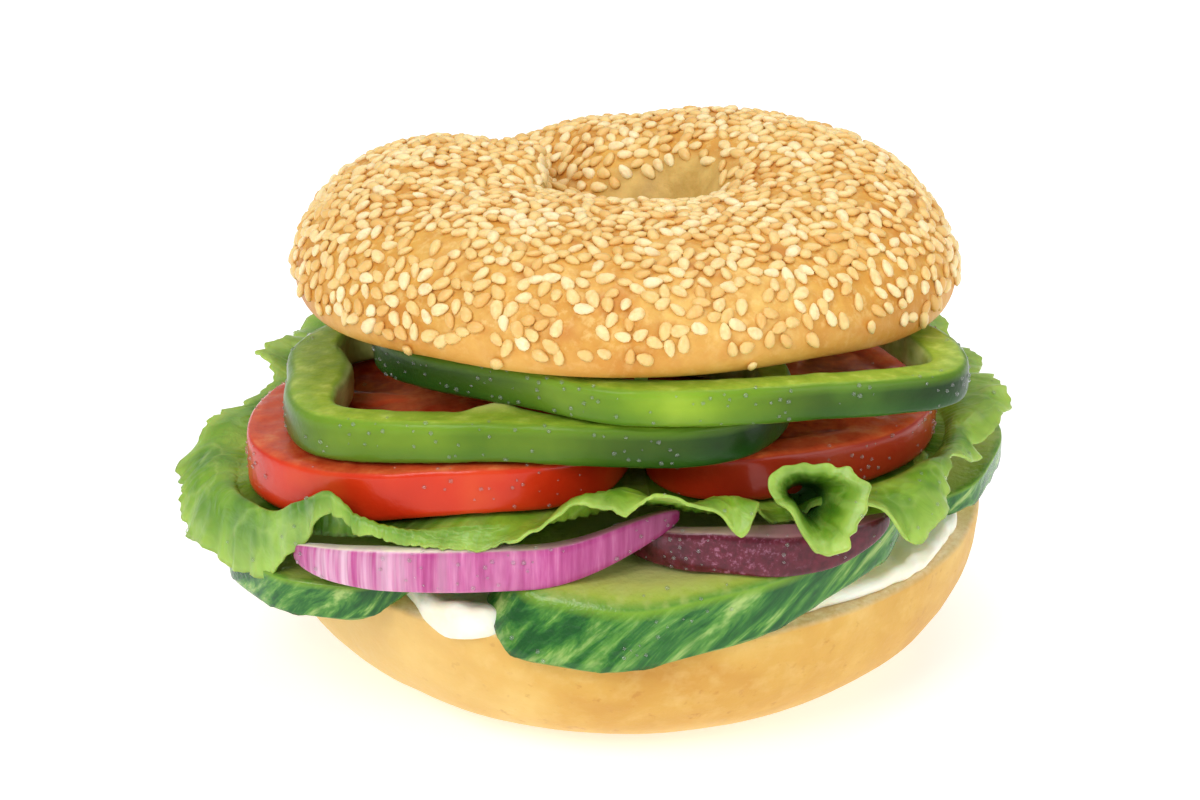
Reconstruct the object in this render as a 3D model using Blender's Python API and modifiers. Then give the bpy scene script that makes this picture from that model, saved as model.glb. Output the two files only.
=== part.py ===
"""Salad sandwich: a split sesame bagel filled with cream cheese, cucumber, red onion,
lettuce, tomato and green pepper rings.

Metres, +Z up. The bagel stands on its flat base and the open front faces -Y.
Every filling lies in its own layer, and the layers fan out towards the front,
because the top half leans back.
"""
import math
import random

import bmesh
import bpy
import numpy as np
from mathutils import Vector

MM = 0.001

# Bottom half of the bagel: a bowl-like half ring, widest at its cut face
RIM_RADIUS = 58 * MM
BASE_RADIUS = 35 * MM
CUT_HEIGHT = 25 * MM
BOTTOM_HOLE = 11 * MM
HOLE_PINCH = 1 * MM
HOLE_EDGE = 1.5 * MM
RIM_EDGE = 0.9 * MM
CUT_FACE_RINGS = (42 * MM, 26 * MM)
WALL_FULLNESS = 2.1
WALL_STEPS = 5

# Top half of the bagel: a dome round a funnel-shaped hole, leaning back
TOP_CENTRE = Vector((-0.5 * MM, 0.4 * MM, 62 * MM))
TOP_LEAN = math.radians(5.4)
TOP_RADIUS = 53.5 * MM
CREST_RADIUS = 31 * MM
TOP_HEIGHT = 16.6 * MM
WIDEST_HEIGHT = 3.6 * MM
TOP_HOLE = 10 * MM
TOP_HOLE_SHIFT = (3.3 * MM, 3.5 * MM)
HOLE_LIP = 1.5 * MM
END_DROOP = 2.2 * MM
DROOP_START = 26 * MM
DOME_FULLNESS = 2.02
FUNNEL_FULLNESS = 2.6
DOME_STEPS = 14

# Swellings and dips of its crest and of its widest line: direction and half width
# in degrees, and size
CREST_SWELLS = ((60, 80, 1.6 * MM), (25, 45, 0.9 * MM), (95, 40, -2.6 * MM),
                (119, 22, -4.3 * MM), (136, 60, -2.2 * MM), (160, 40, 2.0 * MM))
RIM_SWELLS = ((182, 60, -1.3 * MM), (140, 40, 0.5 * MM))
CREST_WAVE = 0.3 * MM

# How far out the points of its cut face lie between the hole and the widest line
CUT_FACE_SHARES = (0.03, 0.45, 0.955)
EDGE_SHARE = 0.99

# Gentle unevenness of the dough: waves in the round, phase and share of the radius
DOUGH_WAVES = ((2, 0.6, 0.006), (5, 1.9, 0.005))
EVEN_BELOW = 8 * MM

# Sesame seeds
SEED_LENGTH = 3.1 * MM
SEED_WIDTH = 2.0 * MM
SEED_THICKNESS = 1.5 * MM
SEED_COUNT = 88
SEED_SPACING = 6.0 * MM
SEED_LIFT = 0.12 * MM
SEED_SWEEPS = (0.02, 0.80)
SEED_STEP = 2.2 * MM
FEWER_SEEDS_BELOW = 0.1
SHARE_LEFT_OUT = 0.6
SEED_TRIES = 60000
SEED_DRAW = 11

# Layer levels where the stack has its middle height
STACK_HEIGHT = TOP_CENTRE.z - CUT_HEIGHT
LEAF_LEVEL = 41.2 * MM
TOMATO_LEVELS = (42.0 * MM, 48.8 * MM)
LOWER_PEPPER_LEVELS = (49.2 * MM, 55.4 * MM)
UPPER_PEPPER_LEVELS = (55.8 * MM, 61.4 * MM)

# Reach of the front tomato slices and pepper rings from their middles, every 15 degrees
TOMATO_LEFT_REACH = np.array((31, 31, 31, 31, 31, 31, 31, 31, 31, 31, 31, 31,
                              31.2, 31.6, 31, 30.2, 29.6, 29.6, 30.2, 32, 34, 35,
                              33, 31.5)) * MM
TOMATO_RIGHT_REACH = np.array((23.2, 23.4, 24.3, 25.6, 27.6, 29, 29.5, 29, 27.6, 25.6,
                               24.2, 23.3, 23, 23.5, 26.8, 32.5, 34.8, 32.6, 29, 26.6,
                               25, 24, 23.3, 23)) * MM
PEPPER_LEFT_REACH = np.array((40, 39.5, 35.6, 30, 27, 26.5, 28, 31.5, 38, 46, 45.5, 41,
                              39.2, 36.5, 31, 26.3, 23.5, 21.8, 21.6, 23.2, 26.6, 32.6,
                              37.6, 39.5)) * MM
PEPPER_RIGHT_REACH = np.array((46.5, 42.5, 38.5, 35.5, 32.5, 30.3, 29.5, 30.5, 33.2, 37.5,
                               42, 45.4, 45.2, 40, 34.5, 30.4, 29.7, 29.9, 29.7, 30.3,
                               32.3, 35, 40.5, 47.3)) * MM
LOBE_DEPTH = 0.02
RIB_DEPTH = 0.012

# How far the ends of the layers hang at the left and at the right, by level
SAG_LEVELS = np.array((41, 42, 49, 56, 62)) * MM
LEFT_SAG = np.array((6.5, 6.0, 4.2, 3.2, 2.8)) * MM
RIGHT_SAG = np.array((1.0, 1.0, 1.5, 3.0, 3.0)) * MM
SAG_START = 18 * MM
SAG_REACH = 42 * MM

# The empty that carries the pieces puts the middle of the sandwich's box at the origin
BOX_SHIFT = (4.7 * MM, 0.6 * MM, 0)

FINISHES = {
    "crust": ((0.80, 0.50, 0.17), 0.55),
    "seeded_crust": ((0.82, 0.55, 0.20), 0.55),
    "cream": ((0.90, 0.86, 0.76), 0.45),
    "cucumber": ((0.12, 0.28, 0.07), 0.35),
    "onion": ((0.48, 0.09, 0.24), 0.25),
    "leaf": ((0.28, 0.50, 0.07), 0.40),
    "tomato": ((0.60, 0.06, 0.03), 0.22),
    "pepper": ((0.16, 0.36, 0.05), 0.25),
}


def remove_all_objects():
    for thing in list(bpy.data.objects):
        bpy.data.objects.remove(thing, do_unlink=True)


def make_finish(name):
    colour, roughness = FINISHES[name]
    finish = bpy.data.materials.new(name)
    finish.use_nodes = True
    surface = finish.node_tree.nodes["Principled BSDF"]
    surface.inputs["Base Color"].default_value = (*colour, 1.0)
    surface.inputs["Roughness"].default_value = roughness
    surface.inputs["Metallic"].default_value = 0.0
    return finish


def smooth_step(value):
    value = min(1.0, max(0.0, value))
    return value * value * (3 - 2 * value)


def bump(angle, centre, half_width):
    """1 at a direction in degrees, falling to 0 half_width degrees away."""
    away = abs((math.degrees(angle) - centre + 180) % 360 - 180)
    return smooth_step(1 - away / half_width)


def swelling(angle, swells):
    """Sum of bumps given by direction, half width and size."""
    return sum(size * bump(angle, at, spread) for at, spread, size in swells)


def signed_power(value, power):
    return math.copysign(abs(value) ** power, value)


def oval(angle, half_x, half_y, fullness=2.0):
    """Point of a superellipse: an ellipse at fullness 2, squarer above it."""
    power = 2 / fullness
    return Vector((half_x * signed_power(math.cos(angle), power),
                   half_y * signed_power(math.sin(angle), power), 0))


def hand_cut(reaches):
    """Outline of a slice: a smooth closed curve through reaches at even directions."""
    count = len(reaches)

    def outline(angle):
        first = math.floor(angle / math.tau * count)
        part = angle / math.tau * count - first
        before, start, end, after = (reaches[(first + step) % count] for step in range(-1, 3))
        reach = start + part / 2 * (end - before + part * (
            2 * before - 5 * start + 4 * end - after
            + part * (3 * start - before - 3 * end + after)))
        return Vector((reach * math.cos(angle), reach * math.sin(angle), 0))
    return outline


def lobed(half_x, half_y, fullness, lobes, depth=LOBE_DEPTH):
    """Outline of a slice: an oval with soft lobes."""
    def outline(angle):
        swell = 1 + depth * math.cos(lobes * angle + 0.7)
        return oval(angle, half_x * swell, half_y * swell, fullness)
    return outline


TOMATOES = {
    "tomato_left": ((-28.6 * MM, -20.5 * MM), hand_cut(TOMATO_LEFT_REACH)),
    "tomato_right": ((26.5 * MM, -15.5 * MM), hand_cut(TOMATO_RIGHT_REACH)),
    "tomato_back": ((1 * MM, 33 * MM), lobed(28 * MM, 17.5 * MM, 2.0, 0, 0)),
}


def top_cut_height(y):
    """Height of the top half's cut face."""
    return TOP_CENTRE.z - math.tan(TOP_LEAN) * (y - TOP_CENTRE.y)


def settle(x, y, level):
    """Height of a point of the stack: fanned out to the front and hanging at the ends."""
    spread = (top_cut_height(y) - CUT_HEIGHT) / STACK_HEIGHT
    left = smooth_step((-x - SAG_START) / SAG_REACH)
    right = smooth_step((x - SAG_START) / SAG_REACH)
    sag = (left * float(np.interp(level, SAG_LEVELS, LEFT_SAG))
           + right * float(np.interp(level, SAG_LEVELS, RIGHT_SAG)))
    return CUT_HEIGHT + (level - CUT_HEIGHT) * spread - sag


class Kitchen:
    """Puts finished pieces into the sandwich's collection, under its empty."""

    def __init__(self):
        self.collection = bpy.data.collections.new("salad_sandwich")
        bpy.context.scene.collection.children.link(self.collection)
        self.carrier = bpy.data.objects.new("sandwich_centre", None)
        self.carrier.location = BOX_SHIFT
        self.collection.objects.link(self.carrier)
        self.finishes = {name: make_finish(name) for name in FINISHES}

    def serve(self, piece, name, finish):
        piece.name = name
        piece.data.name = name
        for collection in list(piece.users_collection):
            collection.objects.unlink(piece)
        self.collection.objects.link(piece)
        piece.data.materials.clear()
        piece.data.materials.append(self.finishes[finish])
        piece.data.shade_smooth()
        piece.data.set_sharp_from_angle(angle=math.radians(50))
        piece.parent = self.carrier
        return piece


def face_outwards(mesh):
    shape = bmesh.new()
    shape.from_mesh(mesh)
    bmesh.ops.recalc_face_normals(shape, faces=shape.faces)
    shape.to_mesh(mesh)
    shape.free()


def ring_piece(rule, around, across):
    """A torus reshaped by rule(turn, roll); roll 0 is its outer side, a quarter its top."""
    bpy.ops.mesh.primitive_torus_add(major_segments=around, minor_segments=across,
                                     major_radius=1.0, minor_radius=0.25)
    piece = bpy.context.object
    for vertex in piece.data.vertices:
        x, y, z = vertex.co
        turn = math.atan2(y, x) % math.tau
        roll = math.atan2(z, math.hypot(x, y) - 1.0) % math.tau
        vertex.co = rule(turn, roll)
    face_outwards(piece.data)
    return piece


def round_piece(rule, around, across):
    """A sphere reshaped by rule(turn, lift); lift runs from -90 to 90 degrees."""
    shape = bmesh.new()
    bmesh.ops.create_uvsphere(shape, u_segments=around, v_segments=across, radius=1.0)
    for vertex in shape.verts:
        x, y, z = vertex.co
        turn = math.atan2(y, x) % math.tau
        lift = math.atan2(z, math.hypot(x, y))
        vertex.co = rule(turn, lift)
    shape.normal_update()
    bmesh.ops.recalc_face_normals(shape, faces=shape.faces)
    mesh = bpy.data.meshes.new("slice")
    shape.to_mesh(mesh)
    shape.free()
    piece = bpy.data.objects.new("slice", mesh)
    bpy.context.scene.collection.objects.link(piece)
    return piece


# Bagel halves

def bottom_section(across_step):
    """Point of the bottom half's section, by step from its rim over the cut face."""
    points = [(RIM_RADIUS, CUT_HEIGHT - RIM_EDGE),
              (RIM_RADIUS - RIM_EDGE, CUT_HEIGHT),
              *((radius, CUT_HEIGHT) for radius in CUT_FACE_RINGS),
              (BOTTOM_HOLE + HOLE_EDGE, CUT_HEIGHT),
              (BOTTOM_HOLE, CUT_HEIGHT - HOLE_EDGE),
              (BOTTOM_HOLE - HOLE_PINCH, CUT_HEIGHT / 2),
              (BOTTOM_HOLE, 2 * HOLE_EDGE),
              (BOTTOM_HOLE + 2 * HOLE_EDGE, 0),
              (CUT_FACE_RINGS[1], 0),
              (BASE_RADIUS, 0)]
    for step in range(WALL_STEPS, 0, -1):
        angle = step / (WALL_STEPS + 1) * math.pi / 2
        radius = (BASE_RADIUS + (RIM_RADIUS - BASE_RADIUS)
                  * math.cos(angle) ** (2 / WALL_FULLNESS))
        points.append((radius, CUT_HEIGHT * (1 - math.sin(angle) ** (2 / WALL_FULLNESS))))
    return points[across_step]


def unevenness(turn, height):
    """Gentle swelling of the hand-shaped dough, none at the flat base."""
    share = sum(size * math.cos(waves * turn + phase) for waves, phase, size in DOUGH_WAVES)
    return 1 + share * min(1.0, height / EVEN_BELOW)


def make_bagel_bottom(kitchen):
    across = 16

    def rule(turn, roll):
        radius, height = bottom_section(round(roll / math.tau * across) % across)
        radius *= unevenness(turn, height)
        return Vector((radius * math.cos(turn), radius * math.sin(turn), height))

    kitchen.serve(ring_piece(rule, 40, across), "bagel_bottom", "crust")


def dome_height(turn):
    """The crest is highest at the back right and low at the back left, by the seam."""
    return TOP_HEIGHT + swelling(turn, CREST_SWELLS) + CREST_WAVE * math.cos(3 * turn)


def dome_point(turn, sweep):
    """Point on the top half's skin: sweep 0 is its widest line, 0.5 its crest
    and 1 the bottom of the hole. Local to the cut face's centre."""
    height = dome_height(turn)
    if sweep <= 0.5:
        angle = sweep * math.pi
        power = 2 / DOME_FULLNESS
        widest = TOP_RADIUS + swelling(turn, RIM_SWELLS)
        radius = CREST_RADIUS + (widest - CREST_RADIUS) * math.cos(angle) ** power
        rise = WIDEST_HEIGHT + (height - WIDEST_HEIGHT) * math.sin(angle) ** power
        shift = 0.0
    else:
        angle = (1 - sweep) * math.pi
        power = 2 / FUNNEL_FULLNESS
        width = max(0.0, math.cos(angle)) ** power
        radius = CREST_RADIUS - (CREST_RADIUS - TOP_HOLE) * width
        rise = HOLE_LIP + (height - HOLE_LIP) * math.sin(angle) ** power
        shift = width
    radius *= unevenness(turn, height)
    return Vector((radius * math.cos(turn) + shift * TOP_HOLE_SHIFT[0],
                   radius * math.sin(turn) + shift * TOP_HOLE_SHIFT[1], rise))


def lean_back(point):
    """From the top half's own frame to the sandwich's; its two ends hang a little."""
    cosine, sine = math.cos(TOP_LEAN), math.sin(TOP_LEAN)
    x, y, z = point
    z -= END_DROOP * smooth_step(abs(x) / DROOP_START - 1) * (1 - z / TOP_HEIGHT)
    return TOP_CENTRE + Vector((x, y * cosine + z * sine, z * cosine - y * sine))


def make_bagel_top(kitchen):
    across = DOME_STEPS + len(CUT_FACE_SHARES) + 1

    def rule(turn, roll):
        step = round(roll / math.tau * across) % across
        if step < DOME_STEPS:
            return lean_back(dome_point(turn, step / (DOME_STEPS - 1)))
        inner = dome_point(turn, 1.0)
        outer = dome_point(turn, 0.0)
        inner.z = 0
        outer.z = 0
        if step < across - 1:
            return lean_back(inner.lerp(outer, CUT_FACE_SHARES[step - DOME_STEPS]))
        return lean_back(outer * EDGE_SHARE + Vector((0, 0, WIDEST_HEIGHT / 3)))

    crust = kitchen.serve(ring_piece(rule, 48, across), "bagel_top", "seeded_crust")
    fuse_seeds(crust)


def seed_places():
    """Directions and sweeps of the seeds, thinning out to the rim and into the hole."""
    draw = random.Random(SEED_DRAW)
    places = []
    for _ in range(SEED_TRIES):
        if len(places) == SEED_COUNT:
            break
        turn = draw.uniform(0, math.tau)
        sweep = draw.uniform(*SEED_SWEEPS)
        point = dome_point(turn, sweep)
        stretch = (dome_point(turn, sweep + 0.01) - dome_point(turn, sweep - 0.01)).length
        area = point.xy.length * stretch / (TOP_RADIUS * SEED_STEP)
        if draw.random() > min(1.0, area):
            continue
        if sweep < FEWER_SEEDS_BELOW and draw.random() < SHARE_LEFT_OUT:
            continue
        if all((point - other[2]).length > SEED_SPACING for other in places):
            places.append((turn, sweep, point, draw.uniform(0, math.tau)))
    return places


def seed_mesh(turn, sweep, point, spin):
    """A flat teardrop lying on the dome, half sunk in it."""
    reach = 0.004
    along = (dome_point(turn, sweep + reach) - dome_point(turn, sweep - reach)).normalized()
    sideways = (dome_point(turn + reach, sweep) - dome_point(turn - reach, sweep)).normalized()
    outwards = sideways.cross(along).normalized()
    sideways = along.cross(outwards)
    shape = bmesh.new()
    bmesh.ops.create_icosphere(shape, subdivisions=1, radius=0.5)
    for vertex in shape.verts:
        x, y, z = vertex.co
        x, y = SEED_LENGTH * x, SEED_WIDTH * y * (1 - 0.5 * x)
        turned_x = x * math.cos(spin) - y * math.sin(spin)
        turned_y = x * math.sin(spin) + y * math.cos(spin)
        place = (point + along * turned_x + sideways * turned_y
                 + outwards * (SEED_THICKNESS * z + SEED_LIFT))
        vertex.co = lean_back(place)
    shape.normal_update()
    bmesh.ops.recalc_face_normals(shape, faces=shape.faces)
    mesh = bpy.data.meshes.new("seed")
    shape.to_mesh(mesh)
    shape.free()
    return mesh


def fuse_seeds(crust):
    """One union joins every seed to the crust."""
    seeds = bpy.data.collections.new("seeds")
    bpy.context.scene.collection.children.link(seeds)
    for place in seed_places():
        seed = bpy.data.objects.new("seed", seed_mesh(*place))
        seed.parent = crust.parent
        seeds.objects.link(seed)
    union = crust.modifiers.new("seeds", "BOOLEAN")
    union.operation = "UNION"
    union.operand_type = "COLLECTION"
    union.collection = seeds
    union.solver = "MANIFOLD"
    bpy.context.view_layer.update()
    fused = bpy.data.meshes.new_from_object(
        crust.evaluated_get(bpy.context.evaluated_depsgraph_get()))
    crust.modifiers.remove(union)
    plain = crust.data
    crust.data = fused
    bpy.data.meshes.remove(plain)
    fused.name = "bagel_top"
    for seed in list(seeds.objects):
        bpy.data.objects.remove(seed, do_unlink=True)
    bpy.data.collections.remove(seeds)


# Cream cheese

CREAM_THICKNESS = 2.1 * MM
GAP = 0.3 * MM
CREAM_TOP = CUT_HEIGHT + GAP + CREAM_THICKNESS
CREAM_RADIUS = RIM_RADIUS - 2.6 * MM
CREAM_INNER = BOTTOM_HOLE + 2.5 * MM
CREAM_WAVE = 0.5 * MM

# Where the slices push the cream out, and where it was spread thinly
CREAM_PUSHES = ((242, 12, 1.0), (325, 26, 0.8))
CREAM_PUSH = 3.2 * MM
CREAM_SWELL = 1.8 * MM
CREAM_THIN = ((211, 27, 3.6 * MM),)


def make_cream(kitchen):
    across = 8

    def rule(turn, roll):
        pushed = swelling(turn, CREAM_PUSHES)
        edge = (CREAM_RADIUS + CREAM_WAVE * math.cos(7 * turn + 1)
                + CREAM_PUSH * pushed - swelling(turn, CREAM_THIN))
        middle = CREAM_TOP - CREAM_THICKNESS / 2
        low = CREAM_TOP - CREAM_THICKNESS
        lip = edge - 1.0 * MM
        section = [(edge, middle),
                   (lip, low + 0.85 * CREAM_THICKNESS + CREAM_SWELL * pushed),
                   (edge - 6.5 * MM, CREAM_TOP),
                   (CUT_FACE_RINGS[1], CREAM_TOP),
                   (CREAM_INNER, middle),
                   (CUT_FACE_RINGS[1], low),
                   (CUT_FACE_RINGS[0] + 3 * MM, low),
                   (min(lip, RIM_RADIUS), low)]
        radius, height = section[round(roll / math.tau * across) % across]
        return Vector((radius * math.cos(turn), radius * math.sin(turn), height))

    kitchen.serve(ring_piece(rule, 44, across), "cream_cheese", "cream")


# Flat slices

# Where a slice starts to hang over the rim and how far out it goes on; where its
# right end rides up fully
HANG_START = 55 * MM
HANG_LENGTH = 9 * MM
LIFT_REACH = 44 * MM
HANG_SHARE = 0.85
HANG_SPREAD = 0.3


def slice_rule(spec):
    """Rule of a flat slice described by a dictionary of its sizes."""
    spin = math.radians(spec.get("spin", 0))
    cosine, sine = math.cos(spin), math.sin(spin)
    bias_x, bias_y = spec.get("bias", (0, 0))

    def rule(turn, lift):
        flat = 2 / spec["edge"]
        ring = max(0.0, math.cos(lift)) ** flat
        rise = signed_power(math.sin(lift), flat) / 2
        place = spec["outline"](turn) * ring
        x = spec["centre"][0] + place.x * cosine - place.y * sine + bias_x * rise
        y = spec["centre"][1] + place.x * sine + place.y * cosine + bias_y * rise
        return Vector((x, y, spec["height"](x, y, rise)))

    return rule


def flat_height(middle, thickness, over_rim=0.0, lifted=0.0):
    """Height rule of a slice on the cream: it hangs beyond the bagel's rim, and lifted
    is how far its right end rides up on the next slice."""
    def height(x, y, rise):
        level = middle + thickness * rise + lifted * (max(0.0, x) / LIFT_REACH) ** 2
        beyond = smooth_step((math.hypot(x, y) - HANG_START) / HANG_LENGTH)
        return level - over_rim * beyond * (HANG_SHARE - HANG_SPREAD * rise)
    return height


def layer_height(levels):
    """Height rule of a slice that lies in the stack."""
    low, high = levels

    def height(x, y, rise):
        return settle(x, y, low + (high - low) * (rise + 0.5))
    return height


def cucumber(name, centre, half, thickness, across=6, over_rim=0, lifted=0, spin=0,
             bias=(0, 0)):
    """Sizes of a cucumber slice in millimetres, spin in degrees; it lies on the cream."""
    return {"name": name, "finish": "cucumber", "centre": (centre[0] * MM, centre[1] * MM),
            "outline": lobed(half[0] * MM, half[1] * MM, 2.0, 9, RIB_DEPTH), "edge": 5.0,
            "bias": (bias[0] * MM, bias[1] * MM), "spin": spin, "across": across,
            "around": 24,
            "height": flat_height(CREAM_TOP + GAP + thickness / 2 * MM, thickness * MM,
                                  over_rim * MM, lifted * MM)}


def tomato(name, centre, outline):
    return {"name": name, "finish": "tomato", "centre": centre, "outline": outline,
            "edge": 3.6, "across": 6, "around": 24, "height": layer_height(TOMATO_LEVELS)}


FRONT_CUCUMBER = cucumber("cucumber_front", (13, -39.5), (35, 18), 6.6, across=10,
                          over_rim=6.0, lifted=7.2, spin=22, bias=(3, 2.5))


def make_slices(kitchen):
    slices = [
        FRONT_CUCUMBER,
        cucumber("cucumber_left", (-42, -27), (21, 20.5), 4.9, across=10, over_rim=4.0),
        cucumber("cucumber_right", (41, 3), (21, 27), 4.0, over_rim=-1.5),
        cucumber("cucumber_back_left", (-24, 26), (26, 24), 5.0),
        cucumber("cucumber_back_right", (26, 44), (20, 12), 5.0, over_rim=1.5),
        *(tomato(name, *TOMATOES[name]) for name in TOMATOES),
    ]
    for spec in slices:
        piece = round_piece(slice_rule(spec), spec["around"], spec["across"])
        kitchen.serve(piece, spec["name"], spec["finish"])


# Onion arcs

# Middle height and slopes of the left strip, and how far its front end is lifted
LEFT_STRIP_HEIGHT = 35.9 * MM
LEFT_STRIP_SLOPES = (0.04, -0.05)
LEFT_STRIP_PLACE = (-21 * MM, -37 * MM)
LEFT_STRIP_LIFT = 6.2 * MM
BACK_STRIP_HEIGHT = 36.1 * MM
TAPER = 0.4


def onion_rule(centre, half, fullness, start, end, wall, height, middle):
    """Rule of a strip of onion along part of an oval, tapering to both ends."""
    def rule(turn, lift):
        along = min(1.0, max(0.0, lift / math.pi + 0.5))
        angle = math.radians(start + (end - start) * along)
        taper = math.sin(math.pi * along) ** TAPER
        ahead = oval(angle + 0.02, *half, fullness) - oval(angle - 0.02, *half, fullness)
        outwards = Vector((ahead.y, -ahead.x, 0)).normalized()
        place = Vector((*centre, 0)) + oval(angle, *half, fullness)
        side = outwards * (wall / 2 * taper * signed_power(math.cos(turn), 0.5))
        rise = height / 2 * taper * signed_power(math.sin(turn), 0.5)
        return place + side + Vector((0, 0, middle(place.x, place.y) + rise))
    return rule


def make_onions(kitchen):
    def left_middle(x, y):
        lifted = smooth_step((x + 14 * MM) / (26 * MM)) * smooth_step((-40 * MM - y) / (8 * MM))
        return (LEFT_STRIP_HEIGHT + LEFT_STRIP_SLOPES[0] * (x - LEFT_STRIP_PLACE[0])
                + LEFT_STRIP_SLOPES[1] * (y - LEFT_STRIP_PLACE[1]) + LEFT_STRIP_LIFT * lifted)

    def right_middle(x, y):
        return FRONT_CUCUMBER["height"](x, y, 0.5) + 4.0 * MM

    def back_middle(x, y):
        return BACK_STRIP_HEIGHT

    # Middle and half sizes of the oval, its fullness, the part of it that the strip
    # follows in degrees, then wall and height
    arcs = [
        ("onion_left", (-19 * MM, -37 * MM), (34.5 * MM, 18 * MM), 2.5, 203, 318,
         2.6 * MM, 7.4 * MM, left_middle),
        ("onion_right", (20 * MM, -36.5 * MM), (25 * MM, 17 * MM), 2.0, 208, 325,
         2.6 * MM, 7.3 * MM, right_middle),
        ("onion_back", (0, 28 * MM), (40 * MM, 25 * MM), 2.0, -10, 190,
         3.0 * MM, 5.4 * MM, back_middle),
    ]
    for name, *sizes in arcs:
        kitchen.serve(round_piece(onion_rule(*sizes), 8, 16), name, "onion")


# Lettuce leaf

# Its frilled edge: direction of the stem side and of the edge in degrees, then reach,
# height and how far the leaf arches up on its way there, in millimetres
LEAF_EDGE = (
    (22, 22, 60, 40, 1), (36, 38, 62, 43, 1), (50, 48, 58, 38, 2), (64, 66, 62, 35, 3),
    (78, 76, 59, 42, 0), (92, 94, 62, 38, 2), (106, 105, 60, 34, 3), (120, 122, 64, 40, 1),
    (134, 132, 60, 43, 0), (148, 150, 64, 37, 2), (158, 158, 60, 40, 1),
    (165, 167, 62.5, 41.5, 0), (172, 172, 58.5, 39, 1), (180, 181, 64, 38, 1),
    (186, 184, 69, 36, 1), (192, 192, 73, 32.5, 2), (198, 197, 74.5, 29.5, 3),
    (204, 205, 73, 28, 4), (210, 213, 71, 27.5, 5), (216, 219, 70, 31, 5),
    (221, 224, 69, 38, 6), (226, 229, 68, 44, 5), (230, 232, 66.5, 41.5, 3),
    (237, 238, 63.5, 40.8, 1), (248, 248, 60.5, 40.8, 0), (254, 254, 59.5, 43.5, 0),
    (260, 260, 58.5, 47.5, 3), (265, 265, 58.5, 50.6, 3), (269, 270, 59.5, 51.6, 2),
    (274, 273, 58, 51.8, 1), (279, 280, 59.5, 50.4, 1), (284, 286, 62.8, 46.8, 2),
    (288, 289, 64, 49.5, 1), (291, 292, 64, 47, 3), (294, 294, 68, 43.5, 8),
    (296.5, 296, 70, 42.5, 9), (299, 300, 70, 45, 8), (302, 302, 67, 49.5, 3),
    (305, 306, 65.5, 45.5, 2), (309, 310, 67, 40.3, 4), (313, 312, 68, 39, 5),
    (317, 318, 66, 41, 4), (322, 322, 63.5, 43, 3), (328, 328, 60.5, 44, 1),
    (336, 336, 61, 40.5, 2), (341, 340, 59, 41, 2), (349, 350, 62.6, 41.7, 2),
    (358, 358, 61.6, 42.8, 1), (365, 365, 59, 41.2, 1), (371, 371, 60.6, 39.8, 1),
)
LEAF_THICKNESS = 0.7 * MM
LEAF_AROUND = 84
LEAF_RINGS = 6
STEM_RADIUS = 46 * MM
CLEARANCE = 1.2 * MM
INNER_RADIUS = 22 * MM
FLAT_RINGS = 2


def covered_reach(turn):
    """How far from the middle the tomato slices cover a direction."""
    reach = 0.0
    for centre, outline in TOMATOES.values():
        for step in range(120):
            place = outline(math.tau * step / 120) + Vector((*centre, 0))
            away = (math.atan2(place.y, place.x) - turn + math.pi) % math.tau - math.pi
            if abs(away) < 0.05:
                reach = max(reach, place.length)
    return reach


def leaf_edge(turn):
    """How far the edge turns from a stem direction, its reach, height and arch."""
    table = np.array(LEAF_EDGE)
    stems = table[:, 0]
    degrees = (math.degrees(turn) - stems[0]) % 360 + stems[0]
    ahead = int(np.searchsorted(stems, degrees, side="right")) % len(stems)
    before = ahead - 1
    gap = (stems[ahead] - stems[before]) % 360
    part = ((degrees - stems[before]) % 360) / gap
    blend = part * part * (3 - 2 * part)
    start, end = table[before, 1:].copy(), table[ahead, 1:].copy()
    start[0] -= stems[before]
    end[0] -= stems[ahead]
    row = start + (end - start) * np.array((part, blend, blend, blend))
    return math.radians(row[0]), row[1] * MM, row[2] * MM, row[3] * MM


def leaf_point(step, turn):
    """Point of the leaf's middle surface: flat between the layers, then out to the edge."""
    stem = max(STEM_RADIUS, covered_reach(turn) + CLEARANCE)
    if step <= FLAT_RINGS:
        radius = (0, INNER_RADIUS, stem)[step]
        x, y = radius * math.cos(turn), radius * math.sin(turn)
        return Vector((x, y, settle(x, y, LEAF_LEVEL)))
    side_turn, reach, height, arch = leaf_edge(turn)
    reach = max(reach, stem + 2.5 * MM)
    stem_height = settle(stem * math.cos(turn), stem * math.sin(turn), LEAF_LEVEL)
    out = (step - FLAT_RINGS) / (LEAF_RINGS - FLAT_RINGS)
    radius = stem + (reach - stem) * out
    direction = turn + side_turn * out
    rise = stem_height + (height - stem_height) * out + 4 * arch * out * (1 - out)
    return Vector((radius * math.cos(direction), radius * math.sin(direction), rise))


def make_leaf(kitchen):
    sheet = bmesh.new()
    spine = [sheet.verts.new((step, 0, 0)) for step in range(LEAF_RINGS + 1)]
    chain = [sheet.edges.new(pair) for pair in zip(spine, spine[1:])]
    bmesh.ops.spin(sheet, geom=spine + chain, axis=(0, 0, 1), cent=(0, 0, 0),
                   angle=math.tau, steps=LEAF_AROUND)
    bmesh.ops.remove_doubles(sheet, verts=sheet.verts, dist=1e-4)
    bmesh.ops.triangulate(sheet, faces=sheet.faces)
    for vertex in sheet.verts:
        turn = math.atan2(vertex.co.y, vertex.co.x)
        vertex.co = leaf_point(round(vertex.co.length), turn)
    sheet.normal_update()
    bmesh.ops.recalc_face_normals(sheet, faces=sheet.faces)
    mesh = bpy.data.meshes.new("lettuce_leaf")
    sheet.to_mesh(mesh)
    sheet.free()
    leaf = kitchen.serve(bpy.data.objects.new("lettuce_leaf", mesh), "lettuce_leaf", "leaf")
    wall = leaf.modifiers.new("thickness", "SOLIDIFY")
    wall.thickness = LEAF_THICKNESS
    wall.offset = 0


# Pepper rings

WALL = 6.0 * MM


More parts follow.
